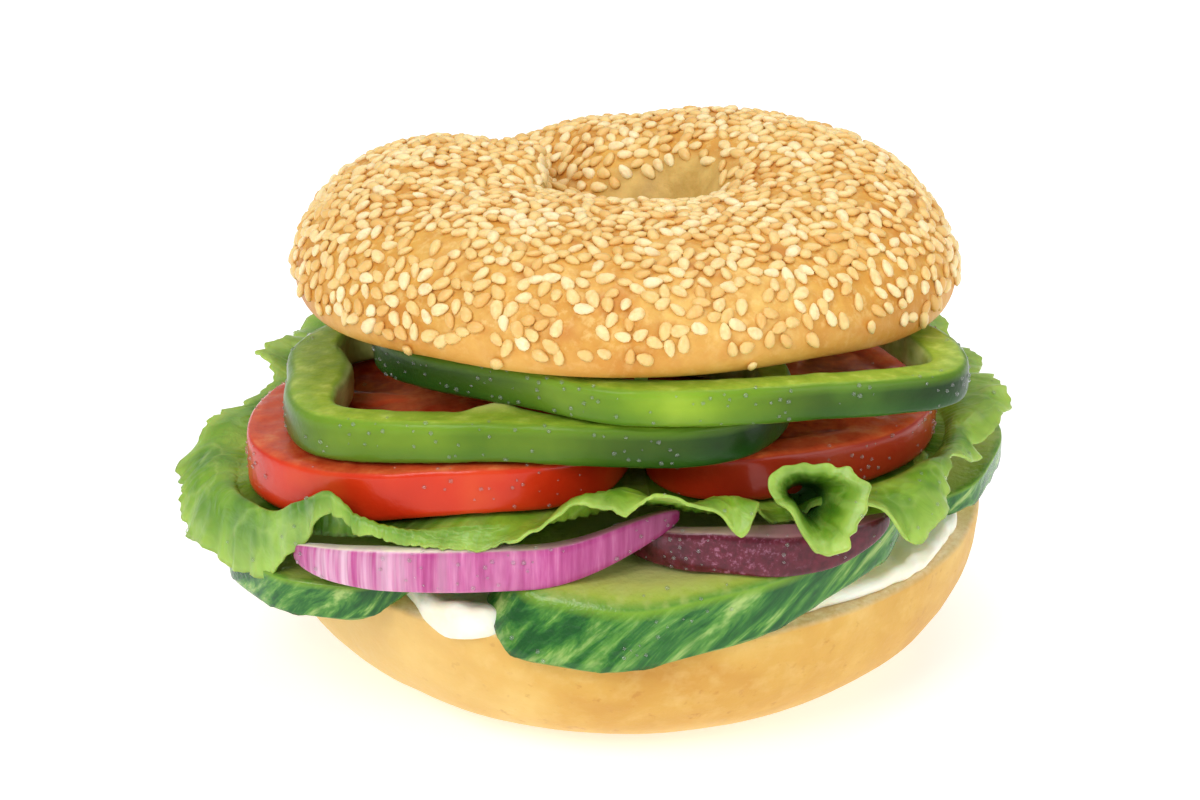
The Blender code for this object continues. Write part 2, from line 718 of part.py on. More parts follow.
def pepper_rule(centre, outline, levels, wall, thick_spots):
    """Rule of a ring of pepper that lies in the stack."""
    def rule(turn, roll):
        point = outline(turn)
        tangent = (outline(turn + 0.02) - outline(turn - 0.02)).normalized()
        outwards = Vector((tangent.y, -tangent.x, 0))
        width = wall + sum(extra * bump(turn, at, spread) for at, spread, extra in thick_spots)
        side = signed_power(math.cos(roll), 0.5)
        inset = width * (side - 1) / 2
        rise = signed_power(math.sin(roll), 0.5) / 2
        x = centre[0] + point.x + outwards.x * inset
        y = centre[1] + point.y + outwards.y * inset
        return Vector((x, y, settle(x, y, levels[0] + (levels[1] - levels[0]) * (rise + 0.5))))
    return rule


def make_peppers(kitchen):
    # Steps round, middle, outline, levels, wall, and where the wall is thicker
    rings = [
        ("pepper_front_left", 32, (-14 * MM, -30 * MM), hand_cut(PEPPER_LEFT_REACH),
         LOWER_PEPPER_LEVELS, WALL, ((166, 34, 4.5 * MM), (256, 20, 2.5 * MM))),
        ("pepper_front_right", 32, (6 * MM, -25 * MM), hand_cut(PEPPER_RIGHT_REACH),
         UPPER_PEPPER_LEVELS, WALL, ((4, 25, 2.0 * MM),)),
        ("pepper_back_lower", 26, (6 * MM, 29 * MM), lobed(42 * MM, 20 * MM, 2.6, 4),
         LOWER_PEPPER_LEVELS, WALL, ((60, 30, 2.0 * MM),)),
        ("pepper_back_upper", 26, (-6 * MM, 32 * MM), lobed(39 * MM, 17 * MM, 2.6, 4),
         UPPER_PEPPER_LEVELS, 5.5 * MM, ((200, 30, 2.0 * MM),)),
    ]
    for name, around, *sizes in rings:
        kitchen.serve(ring_piece(pepper_rule(*sizes), around, 8), name, "pepper")


def build():
    remove_all_objects()
    kitchen = Kitchen()
    make_bagel_bottom(kitchen)
    make_cream(kitchen)
    make_slices(kitchen)
    make_onions(kitchen)
    make_leaf(kitchen)
    make_peppers(kitchen)
    make_bagel_top(kitchen)


build()
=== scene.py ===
"""Looks of the salad sandwich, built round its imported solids."""
import math

import bmesh
import bpy
import numpy as np
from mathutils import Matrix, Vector, noise


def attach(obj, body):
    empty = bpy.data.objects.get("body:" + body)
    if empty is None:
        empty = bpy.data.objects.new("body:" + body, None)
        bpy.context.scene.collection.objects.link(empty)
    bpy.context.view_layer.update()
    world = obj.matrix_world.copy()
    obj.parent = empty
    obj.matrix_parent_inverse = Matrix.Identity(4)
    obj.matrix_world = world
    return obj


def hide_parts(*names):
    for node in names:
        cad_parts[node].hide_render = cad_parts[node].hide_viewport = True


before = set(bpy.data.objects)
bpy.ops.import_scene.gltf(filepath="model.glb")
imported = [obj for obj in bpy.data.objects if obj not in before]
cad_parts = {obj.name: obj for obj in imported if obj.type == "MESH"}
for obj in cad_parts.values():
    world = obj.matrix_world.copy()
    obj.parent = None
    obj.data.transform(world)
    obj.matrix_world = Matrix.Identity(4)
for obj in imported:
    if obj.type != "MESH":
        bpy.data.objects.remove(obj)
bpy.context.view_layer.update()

MM = 0.001

# Sizes of the solids
MIDDLE = Vector((4.7 * MM, 0.6 * MM, 0))
RIM_RADIUS = 58 * MM
BASE_RADIUS = 35 * MM
CUT_HEIGHT = 25 * MM
BOTTOM_HOLE = 11 * MM
WALL_FULLNESS = 2.1
RIM_EDGE = 0.9 * MM
HOLE_EDGE = 1.5 * MM
HOLE_BULGE = 2.4 * MM
TOP_CENTRE = Vector((-0.5 * MM, 0.4 * MM, 62 * MM))
TOP_LEAN = math.radians(5.4)
TOP_RADIUS = 53.5 * MM
CREST_RADIUS = 31 * MM
TOP_HEIGHT = 16.6 * MM
WIDEST_HEIGHT = 3.6 * MM
END_DROOP = 2.2 * MM
DROOP_START = 26 * MM
TOP_HOLE = 10 * MM
TOP_HOLE_SHIFT = (3.3 * MM, 3.5 * MM)
HOLE_LIP = 1.5 * MM
DOME_FULLNESS = 2.02
CREST_SWELLS = ((60, 80, 1.6 * MM), (25, 45, 0.9 * MM), (95, 40, -2.6 * MM),
                (119, 22, -4.3 * MM), (136, 60, -2.2 * MM), (160, 40, 2.0 * MM))
RIM_SWELLS = ((182, 60, -1.3 * MM), (140, 40, 0.5 * MM))
CREST_WAVE = 0.3 * MM
DOUGH_WAVES = ((2, 0.6, 0.006), (5, 1.9, 0.005))
EVEN_BELOW = 8 * MM
FUNNEL_FULLNESS = 2.6
NEAR_FULLNESS = 1.6
STACK_HEIGHT = TOP_CENTRE.z - CUT_HEIGHT
LEAF_LEVEL = 41.2 * MM
TOMATO_LEVELS = (42.0 * MM, 48.8 * MM)
LOWER_PEPPER_LEVELS = (49.2 * MM, 55.4 * MM)
UPPER_PEPPER_LEVELS = (55.8 * MM, 61.4 * MM)
SAG_LEVELS = np.array((41, 42, 49, 56, 62)) * MM
LEFT_SAG = np.array((6.5, 6.0, 4.2, 3.2, 2.8)) * MM
RIGHT_SAG = np.array((1.0, 1.0, 1.5, 3.0, 3.0)) * MM
SAG_START = 18 * MM
SAG_REACH = 42 * MM
CREAM_THICKNESS = 2.1 * MM
GAP = 0.3 * MM
CREAM_TOP = CUT_HEIGHT + GAP + CREAM_THICKNESS
HANG_START = 55 * MM
HANG_LENGTH = 9 * MM
LIFT_REACH = 44 * MM

# Outlines that aren't ovals: reach from the slice's middle, every 15 degrees
TOMATO_LEFT_REACH = np.array((31, 31, 31, 31, 31, 31, 31, 31, 31, 31, 31, 31,
                              31.2, 31.6, 31, 30.2, 29.6, 29.6, 30.2, 32, 34, 35,
                              33, 31.5)) * MM
TOMATO_RIGHT_REACH = np.array((23.2, 23.4, 24.3, 25.6, 27.6, 29, 29.5, 29, 27.6, 25.6, 24.2,
                               23.3, 23, 23.5, 26.8, 32.5, 34.8, 32.6, 29, 26.6, 25, 24,
                               23.3, 23)) * MM
FRONT_LEFT_REACH = np.array((40, 39.5, 35.6, 30, 27, 26.5, 28, 31.5, 38, 46, 45.5, 41,
                             39.2, 36.5, 31, 26.3, 23.5, 21.8, 21.6, 23.2, 26.6, 32.6,
                             37.6, 39.5)) * MM
FRONT_RIGHT_REACH = np.array((46.5, 42.5, 38.5, 35.5, 32.5, 30.3, 29.5, 30.5, 33.2, 37.5,
                              42, 45.4, 45.2, 40, 34.5, 30.4, 29.7, 29.9, 29.7, 30.3, 32.3,
                              35, 40.5, 47.3)) * MM


# Curves that the shapes share

def smooth_step(value):
    value = min(1.0, max(0.0, value))
    return value * value * (3 - 2 * value)


def bump(angle, centre, half_width):
    """1 at a direction in degrees, falling to 0 half_width degrees away."""
    away = abs((math.degrees(angle) - centre + 180) % 360 - 180)
    return smooth_step(1 - away / half_width)


def signed_power(value, power):
    return math.copysign(abs(value) ** power, value)


def oval(angle, half_x, half_y, fullness=2.0):
    power = 2 / fullness
    return Vector((half_x * signed_power(math.cos(angle), power),
                   half_y * signed_power(math.sin(angle), power), 0))


def through(values, part):
    """Smooth curve between the middle two of four values."""
    before, start, end, after = values
    return start + part / 2 * (end - before + part * (
        2 * before - 5 * start + 4 * end - after + part * (3 * start - before - 3 * end + after)))


def closed_curve(values, share):
    """Smooth curve through values that lie evenly on a round, at a share of the round."""
    count = len(values)
    first = math.floor(share * count)
    return through([values[(first + step) % count] for step in range(-1, 3)],
                   share * count - first)


def hand_cut(reaches):
    """Outline: a smooth closed curve through reaches at even directions."""
    def outline(angle):
        reach = closed_curve(reaches, angle / math.tau)
        return Vector((reach * math.cos(angle), reach * math.sin(angle), 0))
    return outline


def lobed(half_x, half_y, fullness, lobes):
    """Outline: an oval with soft lobes."""
    def outline(angle):
        swell = 1 + 0.02 * math.cos(lobes * angle + 0.7)
        return oval(angle, half_x * swell, half_y * swell, fullness)
    return outline


def ribbed(half_x, half_y):
    """Outline: an ellipse with a cucumber's ribs."""
    def outline(angle):
        return oval(angle, half_x, half_y) * (1 + 0.012 * math.cos(9 * angle + 0.7))
    return outline


TOMATOES = {
    "tomato_left": ((-28.6 * MM, -20.5 * MM), hand_cut(TOMATO_LEFT_REACH)),
    "tomato_right": ((26.5 * MM, -15.5 * MM), hand_cut(TOMATO_RIGHT_REACH)),
    "tomato_back": ((1 * MM, 33 * MM), lobed(28 * MM, 17.5 * MM, 2.0, 0)),
}


def top_cut_height(y):
    return TOP_CENTRE.z - math.tan(TOP_LEAN) * (y - TOP_CENTRE.y)


def settle(x, y, level):
    """Height of a point of the stack: fanned out to the front and hanging at the ends."""
    spread = (top_cut_height(y) - CUT_HEIGHT) / STACK_HEIGHT
    left = smooth_step((-x - SAG_START) / SAG_REACH)
    right = smooth_step((x - SAG_START) / SAG_REACH)
    sag = (left * float(np.interp(level, SAG_LEVELS, LEFT_SAG))
           + right * float(np.interp(level, SAG_LEVELS, RIGHT_SAG)))
    return CUT_HEIGHT + (level - CUT_HEIGHT) * spread - sag


def ripple(point, size, layer=0.0):
    """Soft noise between -1 and 1 whose lumps are about size across."""
    return noise.noise(Vector(point) / size + Vector((layer, 7.3 * layer, 3.1 * layer)))


# Meshes

def mark_points(mesh, key, values):
    layer = mesh.attributes.new(key, "FLOAT", "POINT")
    layer.data.foreach_set("value", np.asarray(values, dtype=np.float32))


def show(name, mesh):
    piece = bpy.data.objects.new(name, mesh)
    bpy.context.scene.collection.objects.link(piece)
    return piece


def bake(piece, modifier):
    """Keeps what a modifier makes of a piece as the piece's own mesh."""
    before = piece.data
    bpy.context.view_layer.update()
    result = bpy.data.meshes.new_from_object(
        piece.evaluated_get(bpy.context.evaluated_depsgraph_get()))
    piece.modifiers.remove(modifier)
    piece.data = result
    bpy.data.meshes.remove(before)


def make_piece(name, points, faces, layers):
    """A smooth mesh object at the origin, its faces outwards, with point attributes."""
    points = np.array([tuple(point) for point in points])
    corners = np.array([[face[0], face[1], face[2], face[-1]] for face in faces])
    a, b, c, d = (points[corners[:, k]] for k in range(4))
    volume = (np.einsum("ij,ij->i", a, np.cross(b, c)).sum()
              + np.einsum("ij,ij->i", a, np.cross(c, d)).sum())
    if volume < 0:
        faces = [face[::-1] for face in faces]
    mesh = bpy.data.meshes.new(name)
    mesh.from_pydata((points + np.array(MIDDLE)).tolist(), [], faces)
    for key, values in layers.items():
        mark_points(mesh, key, values)
    mesh.shade_smooth()
    return show(name, mesh)


def put(points, layers, point, marks):
    points.append(point)
    for key, value in marks.items():
        layers.setdefault(key, []).append(value)


def ring_piece(name, rule, around, section):
    """A closed ring: rule(turn, entry) gives a point and its attributes."""
    points, layers = [], {}
    for step in range(around):
        turn = math.tau * step / around
        for entry in section:
            put(points, layers, *rule(turn, entry))
    across = len(section)
    faces = []
    for step in range(around):
        ahead = (step + 1) % around
        for k in range(across):
            after = (k + 1) % across
            faces.append((step * across + k, ahead * across + k,
                          ahead * across + after, step * across + after))
    return make_piece(name, points, faces, layers)


def round_piece(name, rule, around, section):
    """A closed form with a pole at each end of its section."""
    points, layers = [], {}
    put(points, layers, *rule(0.0, section[0]))
    rows = section[1:-1]
    for entry in rows:
        for step in range(around):
            put(points, layers, *rule(math.tau * step / around, entry))
    put(points, layers, *rule(0.0, section[-1]))
    last = len(points) - 1
    faces = []
    for step in range(around):
        ahead = (step + 1) % around
        faces.append((0, 1 + ahead, 1 + step))
        for k in range(len(rows) - 1):
            low, high = 1 + k * around, 1 + (k + 1) * around
            faces.append((low + step, low + ahead, high + ahead, high + step))
        top = 1 + (len(rows) - 1) * around
        faces.append((top + step, top + ahead, last))
    return make_piece(name, points, faces, layers)


# Materials

def colour(red, green, blue):
    """A screen colour from 0 to 255 as linear light."""
    def linear(value):
        value /= 255
        return value / 12.92 if value <= 0.04045 else ((value + 0.055) / 1.055) ** 2.4
    return (linear(red), linear(green), linear(blue), 1.0)


class Finish:
    """A node material, put together by short calls."""

    def __init__(self, name, roughness, soft=(), shine=0.5, coat=(), sockets=()):
        """soft is subsurface weight and scale, coat its weight and roughness."""
        self.material = bpy.data.materials.new(name)
        self.material.use_nodes = True
        self.nodes = self.material.node_tree.nodes
        self.links = self.material.node_tree.links
        self.surface = self.nodes["Principled BSDF"]
        named = [("Roughness", roughness), ("Specular IOR Level", shine),
                 *zip(("Subsurface Weight", "Subsurface Scale"), soft),
                 *zip(("Coat Weight", "Coat Roughness"), coat), *dict(sockets).items()]
        for key, value in named:
            self.surface.inputs[key].default_value = value
        self.place = self.nodes.new("ShaderNodeTexCoord").outputs["Object"]

    def plug(self, value, socket):
        if isinstance(value, bpy.types.NodeSocket):
            self.links.new(value, socket)
        else:
            socket.default_value = value

    def mark(self, name):
        node = self.nodes.new("ShaderNodeAttribute")
        node.attribute_name = name
        return node.outputs["Fac"]

    def combined(self, x, y, z=0.0):
        node = self.nodes.new("ShaderNodeCombineXYZ")
        for value, key in ((x, "X"), (y, "Y"), (z, "Z")):
            self.plug(value, node.inputs[key])
        return node.outputs["Vector"]

    def noise(self, size, detail=3.0, rough=0.5, where=None, twist=0.0):
        node = self.nodes.new("ShaderNodeTexNoise")
        node.inputs["Scale"].default_value = 1 / size
        node.inputs["Detail"].default_value = detail
        node.inputs["Roughness"].default_value = rough
        node.inputs["Distortion"].default_value = twist
        self.links.new(where or self.place, node.inputs["Vector"])
        return node.outputs["Fac"]

    def ramp(self, value, *stops):
        """Stops are a place with a grey value or with a screen colour."""
        node = self.nodes.new("ShaderNodeValToRGB")
        bar = node.color_ramp
        for stop in stops[2:]:
            bar.elements.new(stop[0])
        for element, stop in zip(bar.elements, stops):
            element.position = stop[0]
        for element, (place, *tint) in zip(bar.elements, stops):
            element.color = colour(*tint) if len(tint) == 3 else (*tint * 3, 1.0)
        self.links.new(value, node.inputs["Fac"])
        return node.outputs["Color"]

    def mix(self, share, first, second):
        node = self.nodes.new("ShaderNodeMix")
        node.data_type = "RGBA"
        self.plug(share, node.inputs["Factor"])
        for socket in node.inputs:
            if socket.type == "RGBA":
                self.plug(first if socket.name == "A" else second, socket)
        return next(socket for socket in node.outputs if socket.type == "RGBA")

    def stain(self, tint, value, stops, *shade):
        """Tint turned to a screen colour by as much as a ramp of value says."""
        return self.mix(self.ramp(value, *stops), tint, colour(*shade))

    def sum(self, way, first, second):
        node = self.nodes.new("ShaderNodeMath")
        node.operation = way
        self.plug(first, node.inputs[0])
        self.plug(second, node.inputs[1])
        return node.outputs[0]

    def times(self, first, second):
        return self.sum("MULTIPLY", first, second)

    def plus(self, first, second):
        return self.sum("ADD", first, second)

    def minus(self, first, second):
        return self.sum("SUBTRACT", first, second)

    def finish(self, tint, relief=None, depth=0.0005, strength=0.6, roughness=None):
        self.plug(tint, self.surface.inputs["Base Color"])
        if roughness is not None:
            self.plug(roughness, self.surface.inputs["Roughness"])
        if relief is not None:
            node = self.nodes.new("ShaderNodeBump")
            node.inputs["Strength"].default_value = strength
            node.inputs["Distance"].default_value = depth
            self.links.new(relief, node.inputs["Height"])
            self.links.new(node.outputs["Normal"], self.surface.inputs["Normal"])
        return self.material


def crust_finish(name, seeded):
    """Baked dough: golden, toasted in patches; the attribute crumb marks the cut face."""
    look = Finish(name, 0.5, soft=(0.08, 0.002), shine=0.35)
    broad = look.noise(0.022, 3.0, 0.55, twist=0.4)
    fine = look.noise(0.0035, 4.0, 0.6)
    if seeded:
        tint = look.ramp(broad, (0.30, 234, 192, 106), (0.50, 222, 168, 76), (0.70, 206, 140, 52))
        spots = look.ramp(fine, (0.42, 0.0), (0.60, 1.0))
        tint = look.mix(look.times(spots, 0.5), tint, colour(204, 138, 50))
        tint = look.stain(tint, look.noise(0.0016, 4.0, 0.65), ((0.5, 0.0), (0.66, 0.6)),
                          240, 204, 130)
        tint = look.stain(tint, look.noise(0.009, 3.0, 0.6), ((0.54, 0.0), (0.68, 0.55)),
                          192, 112, 36)
        funnel = look.mark("funnel")
        tint = look.mix(funnel, tint, look.ramp(fine, (0.3, 196, 156, 76), (0.7, 226, 188, 108)))
        low = look.mark("low")
        tint = look.mix(low, tint, look.ramp(broad, (0.35, 222, 164, 74), (0.65, 202, 134, 50)))
    else:
        tint = look.ramp(broad, (0.30, 230, 190, 104), (0.50, 218, 170, 78), (0.72, 202, 146, 58))
        tint = look.stain(tint, look.noise(0.0022, 3.0, 0.6), ((0.62, 0.0), (0.72, 0.5)),
                          190, 128, 50)
        spots = look.ramp(fine, (0.5, 0.0), (0.75, 1.0))
        tint = look.mix(look.times(spots, 0.3), tint, colour(240, 208, 140))
        low = look.mark("low")
        tint = look.mix(low, tint, colour(240, 208, 138))
    crumb = look.ramp(look.noise(0.0016, 5.0, 0.7), (0.35, 226, 198, 140), (0.65, 248, 232, 192))
    tint = look.mix(look.mark("crumb"), tint, crumb)
    pores = look.noise(0.0009, 4.0, 0.65)
    relief = look.plus(fine, look.times(pores, 0.4))
    rough = look.ramp(fine, (0.3, 0.42), (0.7, 0.6))
    return look.finish(tint, relief, 0.0004, 0.55, rough)


def seed_finish():
    look = Finish("sesame", 0.38, soft=(0.15, 0.0006), shine=0.45)
    tint = look.ramp(look.mark("tone"), (0.0, 228, 180, 100),
                     (0.35, 240, 206, 132), (0.75, 248, 222, 160),
                     (1.0, 252, 234, 186))
    patch = look.noise(0.0012, 2.0)
    tint = look.stain(tint, patch, ((0.45, 0.0), (0.75, 0.5)), 226, 172, 96)
    return look.finish(tint, patch, 0.0001, 0.3)


def cream_finish():
    look = Finish("cream", 0.42, soft=(0.35, 0.003))
    tint = look.ramp(look.noise(0.006, 3.0), (0.3, 255, 242, 210), (0.7, 255, 252, 236))
    return look.finish(tint, look.noise(0.0022, 4.0, 0.6), 0.0005, 0.5)


def cucumber_finish():
    """Skin with pale streaks, and flesh that greens towards the skin round a seedy core."""
    look = Finish("cucumber", 0.22, soft=(0.1, 0.002), shine=0.3, coat=(0.08, 0.12))
    angle, level = look.mark("angle"), look.mark("level")
    slanted = look.minus(look.times(angle, 38.0), look.times(level, 1.5))
    across = look.combined(slanted, look.times(level, 0.9))
    streaks = look.noise(1.0, 4.0, 0.65, where=across, twist=0.5)
    fine = look.noise(0.35, 3.0, 0.6, where=across)
    skin = look.ramp(streaks, (0.38, 26, 82, 32), (0.48, 50, 112, 42),
                     (0.56, 92, 148, 58), (0.68, 170, 198, 112))
    skin = look.stain(skin, fine, ((0.4, 0.0), (0.7, 0.4)), 36, 94, 40)
    skin = look.stain(skin, level, ((0.80, 0.0), (0.96, 0.85)), 128, 168, 50)
    radial = look.mark("radial")
    flesh = look.ramp(radial, (0.0, 200, 200, 124), (0.55, 208, 206, 134),
                      (0.80, 192, 196, 104), (0.93, 164, 184, 74),
                      (0.99, 98, 148, 52))
    flesh = look.stain(flesh, look.noise(0.0025, 3.0), ((0.45, 0.0), (0.7, 0.5)), 188, 196, 112)
    tint = look.mix(look.mark("skin"), flesh, skin)
    relief = look.plus(look.noise(0.0011, 3.0), look.times(streaks, 0.6))
    return look.finish(tint, relief, 0.00035, 0.5)


def onion_finish():
    """Purple outer skin with stripes across the strip, pale cut edges, wet; a highlight is painted
    on the skin left of the middle, and shade at the strip's left end.
    """
    look = Finish("onion", 0.2, soft=(0.12, 0.0015), shine=0.3, coat=(0.12, 0.06))
    along, level = look.mark("along"), look.mark("level")
    across = look.combined(look.times(along, 60.0), look.times(level, 0.4))
    stripes = look.noise(1.0, 4.0, 0.6, where=across)
    broad = look.noise(5.0, 2.0, 0.5, where=across)
    skin = look.ramp(stripes, (0.28, 154, 50, 110), (0.48, 188, 80, 144),
                     (0.62, 208, 112, 166), (0.78, 234, 170, 204))
    skin = look.stain(skin, broad, ((0.40, 0.0), (0.64, 0.45)), 162, 54, 116)
    # painted highlight: pale glare on the skin left of the strip's middle, broken into bands across
    # it
    wet = look.ramp(along, (0.08, 0.0), (0.17, 0.8), (0.36, 0.5), (0.5, 0.2), (0.66, 0.0))
    highlight_bands = look.ramp(look.noise(2.6, 3.0, 0.6, where=across), (0.40, 0.0), (0.60, 0.9))
    skin = look.mix(look.times(wet, highlight_bands), skin, colour(248, 222, 234))
    # painted shade: the skin darkens at the strip's left end, where it runs under the leaf, and
    # darkens again towards its right end
    skin = look.stain(skin, along, ((0.0, 1.0), (0.10, 0.0), (0.66, 0.0), (0.95, 0.8)), 128, 34, 82)
    dark = look.mark("dark")
    speckled = look.ramp(look.noise(0.0011, 4.0, 0.7), (0.40, 84, 18, 34),
                         (0.54, 108, 28, 50), (0.68, 176, 112, 138))
    shaded = look.ramp(look.noise(0.0016, 3.0), (0.35, 66, 12, 22), (0.7, 104, 28, 44))
    where = look.ramp(along, (0.22, 0.0), (0.40, 0.8), (0.55, 0.6), (0.70, 0.0))
    skin = look.mix(dark, skin, look.mix(where, shaded, speckled))
    edge = look.ramp(look.noise(0.002, 2.0), (0.3, 240, 228, 200), (0.7, 226, 200, 196))
    edge = look.stain(edge, along, ((0.45, 0.0), (0.72, 0.9)), 136, 48, 96)
    edge = look.mix(look.times(dark, 0.7), edge, colour(134, 74, 84))
    tint = look.mix(look.mark("cut"), skin, edge)
    return look.finish(tint, stripes, 0.00025, 0.4)


def leaf_finish():
    """Lettuce: bright frilled edge, deeper middle, soft blisters and pale ribs, with painted shade
    in the rolled trumpet's throat.
    """
    look = Finish("leaf", 0.38, soft=(0.2, 0.0015), shine=0.4, coat=(0.08, 0.2))
    out, fan = look.mark("out"), look.mark("fan")
    broad = look.noise(0.012, 3.0, 0.55)
    tint = look.ramp(broad, (0.30, 64, 114, 22), (0.46, 104, 150, 34),
                     (0.60, 134, 176, 46), (0.76, 166, 200, 70))
    tint = look.stain(tint, out, ((0.72, 0.0), (0.97, 0.7)), 176, 208, 92)
    fanned = look.noise(1.0, 2.0, 0.5, where=look.combined(look.times(fan, 38.0),
                                                           look.times(out, 1.4)))
    rib = look.ramp(fanned, (0.46, 0.0), (0.5, 1.0), (0.54, 0.0))
    tint = look.mix(look.times(rib, 0.35), tint, colour(176, 206, 104))
    soft = look.noise(0.0045, 3.0, 0.55, twist=0.6)
    tint = look.stain(tint, soft, ((0.4, 0.0), (0.7, 0.35)), 56, 108, 28)
    # painted shade: the trumpet's throat turns dark green where it curls into shadow
    tint = look.mix(look.mark("painted_shade"), tint, look.ramp(soft, (0.3, 20, 60, 20), (0.7, 48, 100, 34)))
    relief = look.plus(soft, look.times(rib, 0.12))
    return look.finish(tint, relief, 0.0012, 0.4)


def tomato_finish():
    """Glossy skin with painted shade towards the right, flesh with paler walls, and wet seed
    chambers.
    """
    look = Finish("tomato", 0.24, soft=(0.18, 0.003), shine=0.22, coat=(0.14, 0.08))
    broad = look.noise(0.016, 2.0)
    skin = look.ramp(broad, (0.3, 196, 40, 14), (0.55, 212, 54, 20), (0.75, 222, 84, 34))
    # painted shade: the skin darkens where the dark mark says, towards the right
    skin = look.mix(look.mark("dark"), skin, colour(140, 44, 24))
    flesh = look.ramp(look.noise(0.004, 4.0, 0.6), (0.3, 190, 60, 30),
                      (0.55, 212, 88, 46), (0.75, 226, 126, 74))
    gel = look.ramp(look.noise(0.0025, 3.0), (0.35, 150, 34, 14), (0.7, 196, 84, 34))
    flesh = look.mix(look.mark("chamber"), flesh, gel)
    tint = look.mix(look.mark("skin"), flesh, skin)
    return look.finish(tint, look.noise(0.0016, 3.0), 0.0003, 0.35)


def pepper_finish():
    """Waxy skin painted with light and shade, bright cut faces, pale ribs and lining."""
    look = Finish("pepper", 0.3, soft=(0.12, 0.002), shine=0.16, coat=(0.07, 0.1))
    broad = look.noise(0.014, 3.0, 0.5)
    shade = look.mark("dark")
    level = look.mark("level")
    # painted light and shade: bright is the lit skin tint and the next ramp the shaded one; the
    # dark mark mixes them along each ring
    bright = look.ramp(broad, (0.3, 112, 150, 30), (0.55, 136, 170, 38), (0.75, 164, 194, 56))
    painted_shade = look.ramp(broad, (0.3, 14, 42, 8), (0.55, 26, 64, 13), (0.75, 50, 94, 26))
    skin = look.mix(shade, bright, painted_shade)
    # painted shade: darker towards the bottom of the skin band, where the ring rests on the layer
    # below; paler towards its top edge
    skin = look.stain(skin, level, ((0.0, 0.5), (0.5, 0.0)), 40, 94, 34)
    skin = look.stain(skin, level, ((0.70, 0.0), (0.97, 0.55)), 124, 166, 50)
    face = look.ramp(look.noise(0.003, 3.0, 0.6), (0.3, 126, 160, 42),
                     (0.55, 150, 178, 56), (0.75, 184, 204, 90))
    lining = look.ramp(look.noise(0.005, 3.0), (0.35, 150, 170, 78), (0.7, 206, 214, 140))
    tint = look.mix(look.mark("cut"), skin, face)
    tint = look.mix(look.mark("inner"), tint, lining)
    tint = look.mix(look.mark("pith"), tint, colour(214, 216, 130))
    relief = look.noise(0.0014, 4.0, 0.6)
    return look.finish(tint, relief, 0.00025, 0.4)


def water_finish():
    look = Finish("water", 0.03, sockets={"Transmission Weight": 0.9, "IOR": 1.33})
    return look.finish(look.ramp(look.mark("tone"), (0.0, 240, 248, 236), (1.0, 255, 255, 255)))


# Bagel halves

def unevenness(turn, height):
    share = sum(size * math.cos(waves * turn + phase) for waves, phase, size in DOUGH_WAVES)
    return 1 + share * min(1.0, height / EVEN_BELOW)


def bottom_profile():
    """Radius, height and cut-face mark from the rim over the cut face, hole and base."""
    profile = []
    for step in range(5):
        angle = step / 4 * math.pi / 2
        profile.append((RIM_RADIUS - RIM_EDGE * (1 - math.cos(angle)),
                        CUT_HEIGHT - RIM_EDGE * (1 - math.sin(angle)), step / 4))
    hole, lip = BOTTOM_HOLE + HOLE_EDGE, RIM_RADIUS - RIM_EDGE
    for step in range(1, 25):
        profile.append((lip + (hole - lip) * step / 24, CUT_HEIGHT, 1.0))
    for step in range(1, 9):
        angle = step / 8 * math.pi
        profile.append((hole - HOLE_BULGE * math.sin(angle),
                        CUT_HEIGHT * (0.5 + 0.5 * math.cos(angle)), max(0.0, 1 - step / 3)))
    for step in range(1, 8):
        profile.append((hole + (BASE_RADIUS - hole) * step / 8, 0.0, 0.0))
    wall_steps = 44
    for step in range(wall_steps, 0, -1):
        angle = step / (wall_steps + 1) * math.pi / 2
        radius = (BASE_RADIUS + (RIM_RADIUS - BASE_RADIUS)
                  * math.cos(angle) ** (2 / WALL_FULLNESS))
        profile.append((radius, CUT_HEIGHT * (1 - math.sin(angle) ** (2 / WALL_FULLNESS)), 0.0))
    return profile


def make_bottom_crust():
    flat = 30 * MM

    def rule(turn, entry):
        radius, height, crumb = entry
        radius *= unevenness(turn, height)
        point = Vector((radius * math.cos(turn), radius * math.sin(turn), height))
        out = Vector((math.cos(turn), math.sin(turn), 0))
        above = min(1.0, height / (5 * MM))
        if crumb < 1:
            swell = 0.35 * ripple(point, 11 * MM, 1) + 0.12 * ripple(point, 3.2 * MM, 2)
            point += out * (swell * MM * above * (1 - crumb))
        if crumb > 0:
            point.z -= 0.22 * MM * crumb * abs(ripple(point, 1.6 * MM, 3))
        low = max(0.8 * smooth_step(1 - height / (9 * MM)), 0.6 * bump(turn, 218, 48))
        return point, {"crumb": crumb, "low": low if radius > flat else 0.0}

    return ring_piece("crust_bottom", rule, 288, bottom_profile())


def swelling(angle, swells):
    """Sum of bumps given by direction, half width and size."""
    return sum(size * bump(angle, at, spread) for at, spread, size in swells)


def dome_height(turn):
    return TOP_HEIGHT + swelling(turn, CREST_SWELLS) + CREST_WAVE * math.cos(3 * turn)


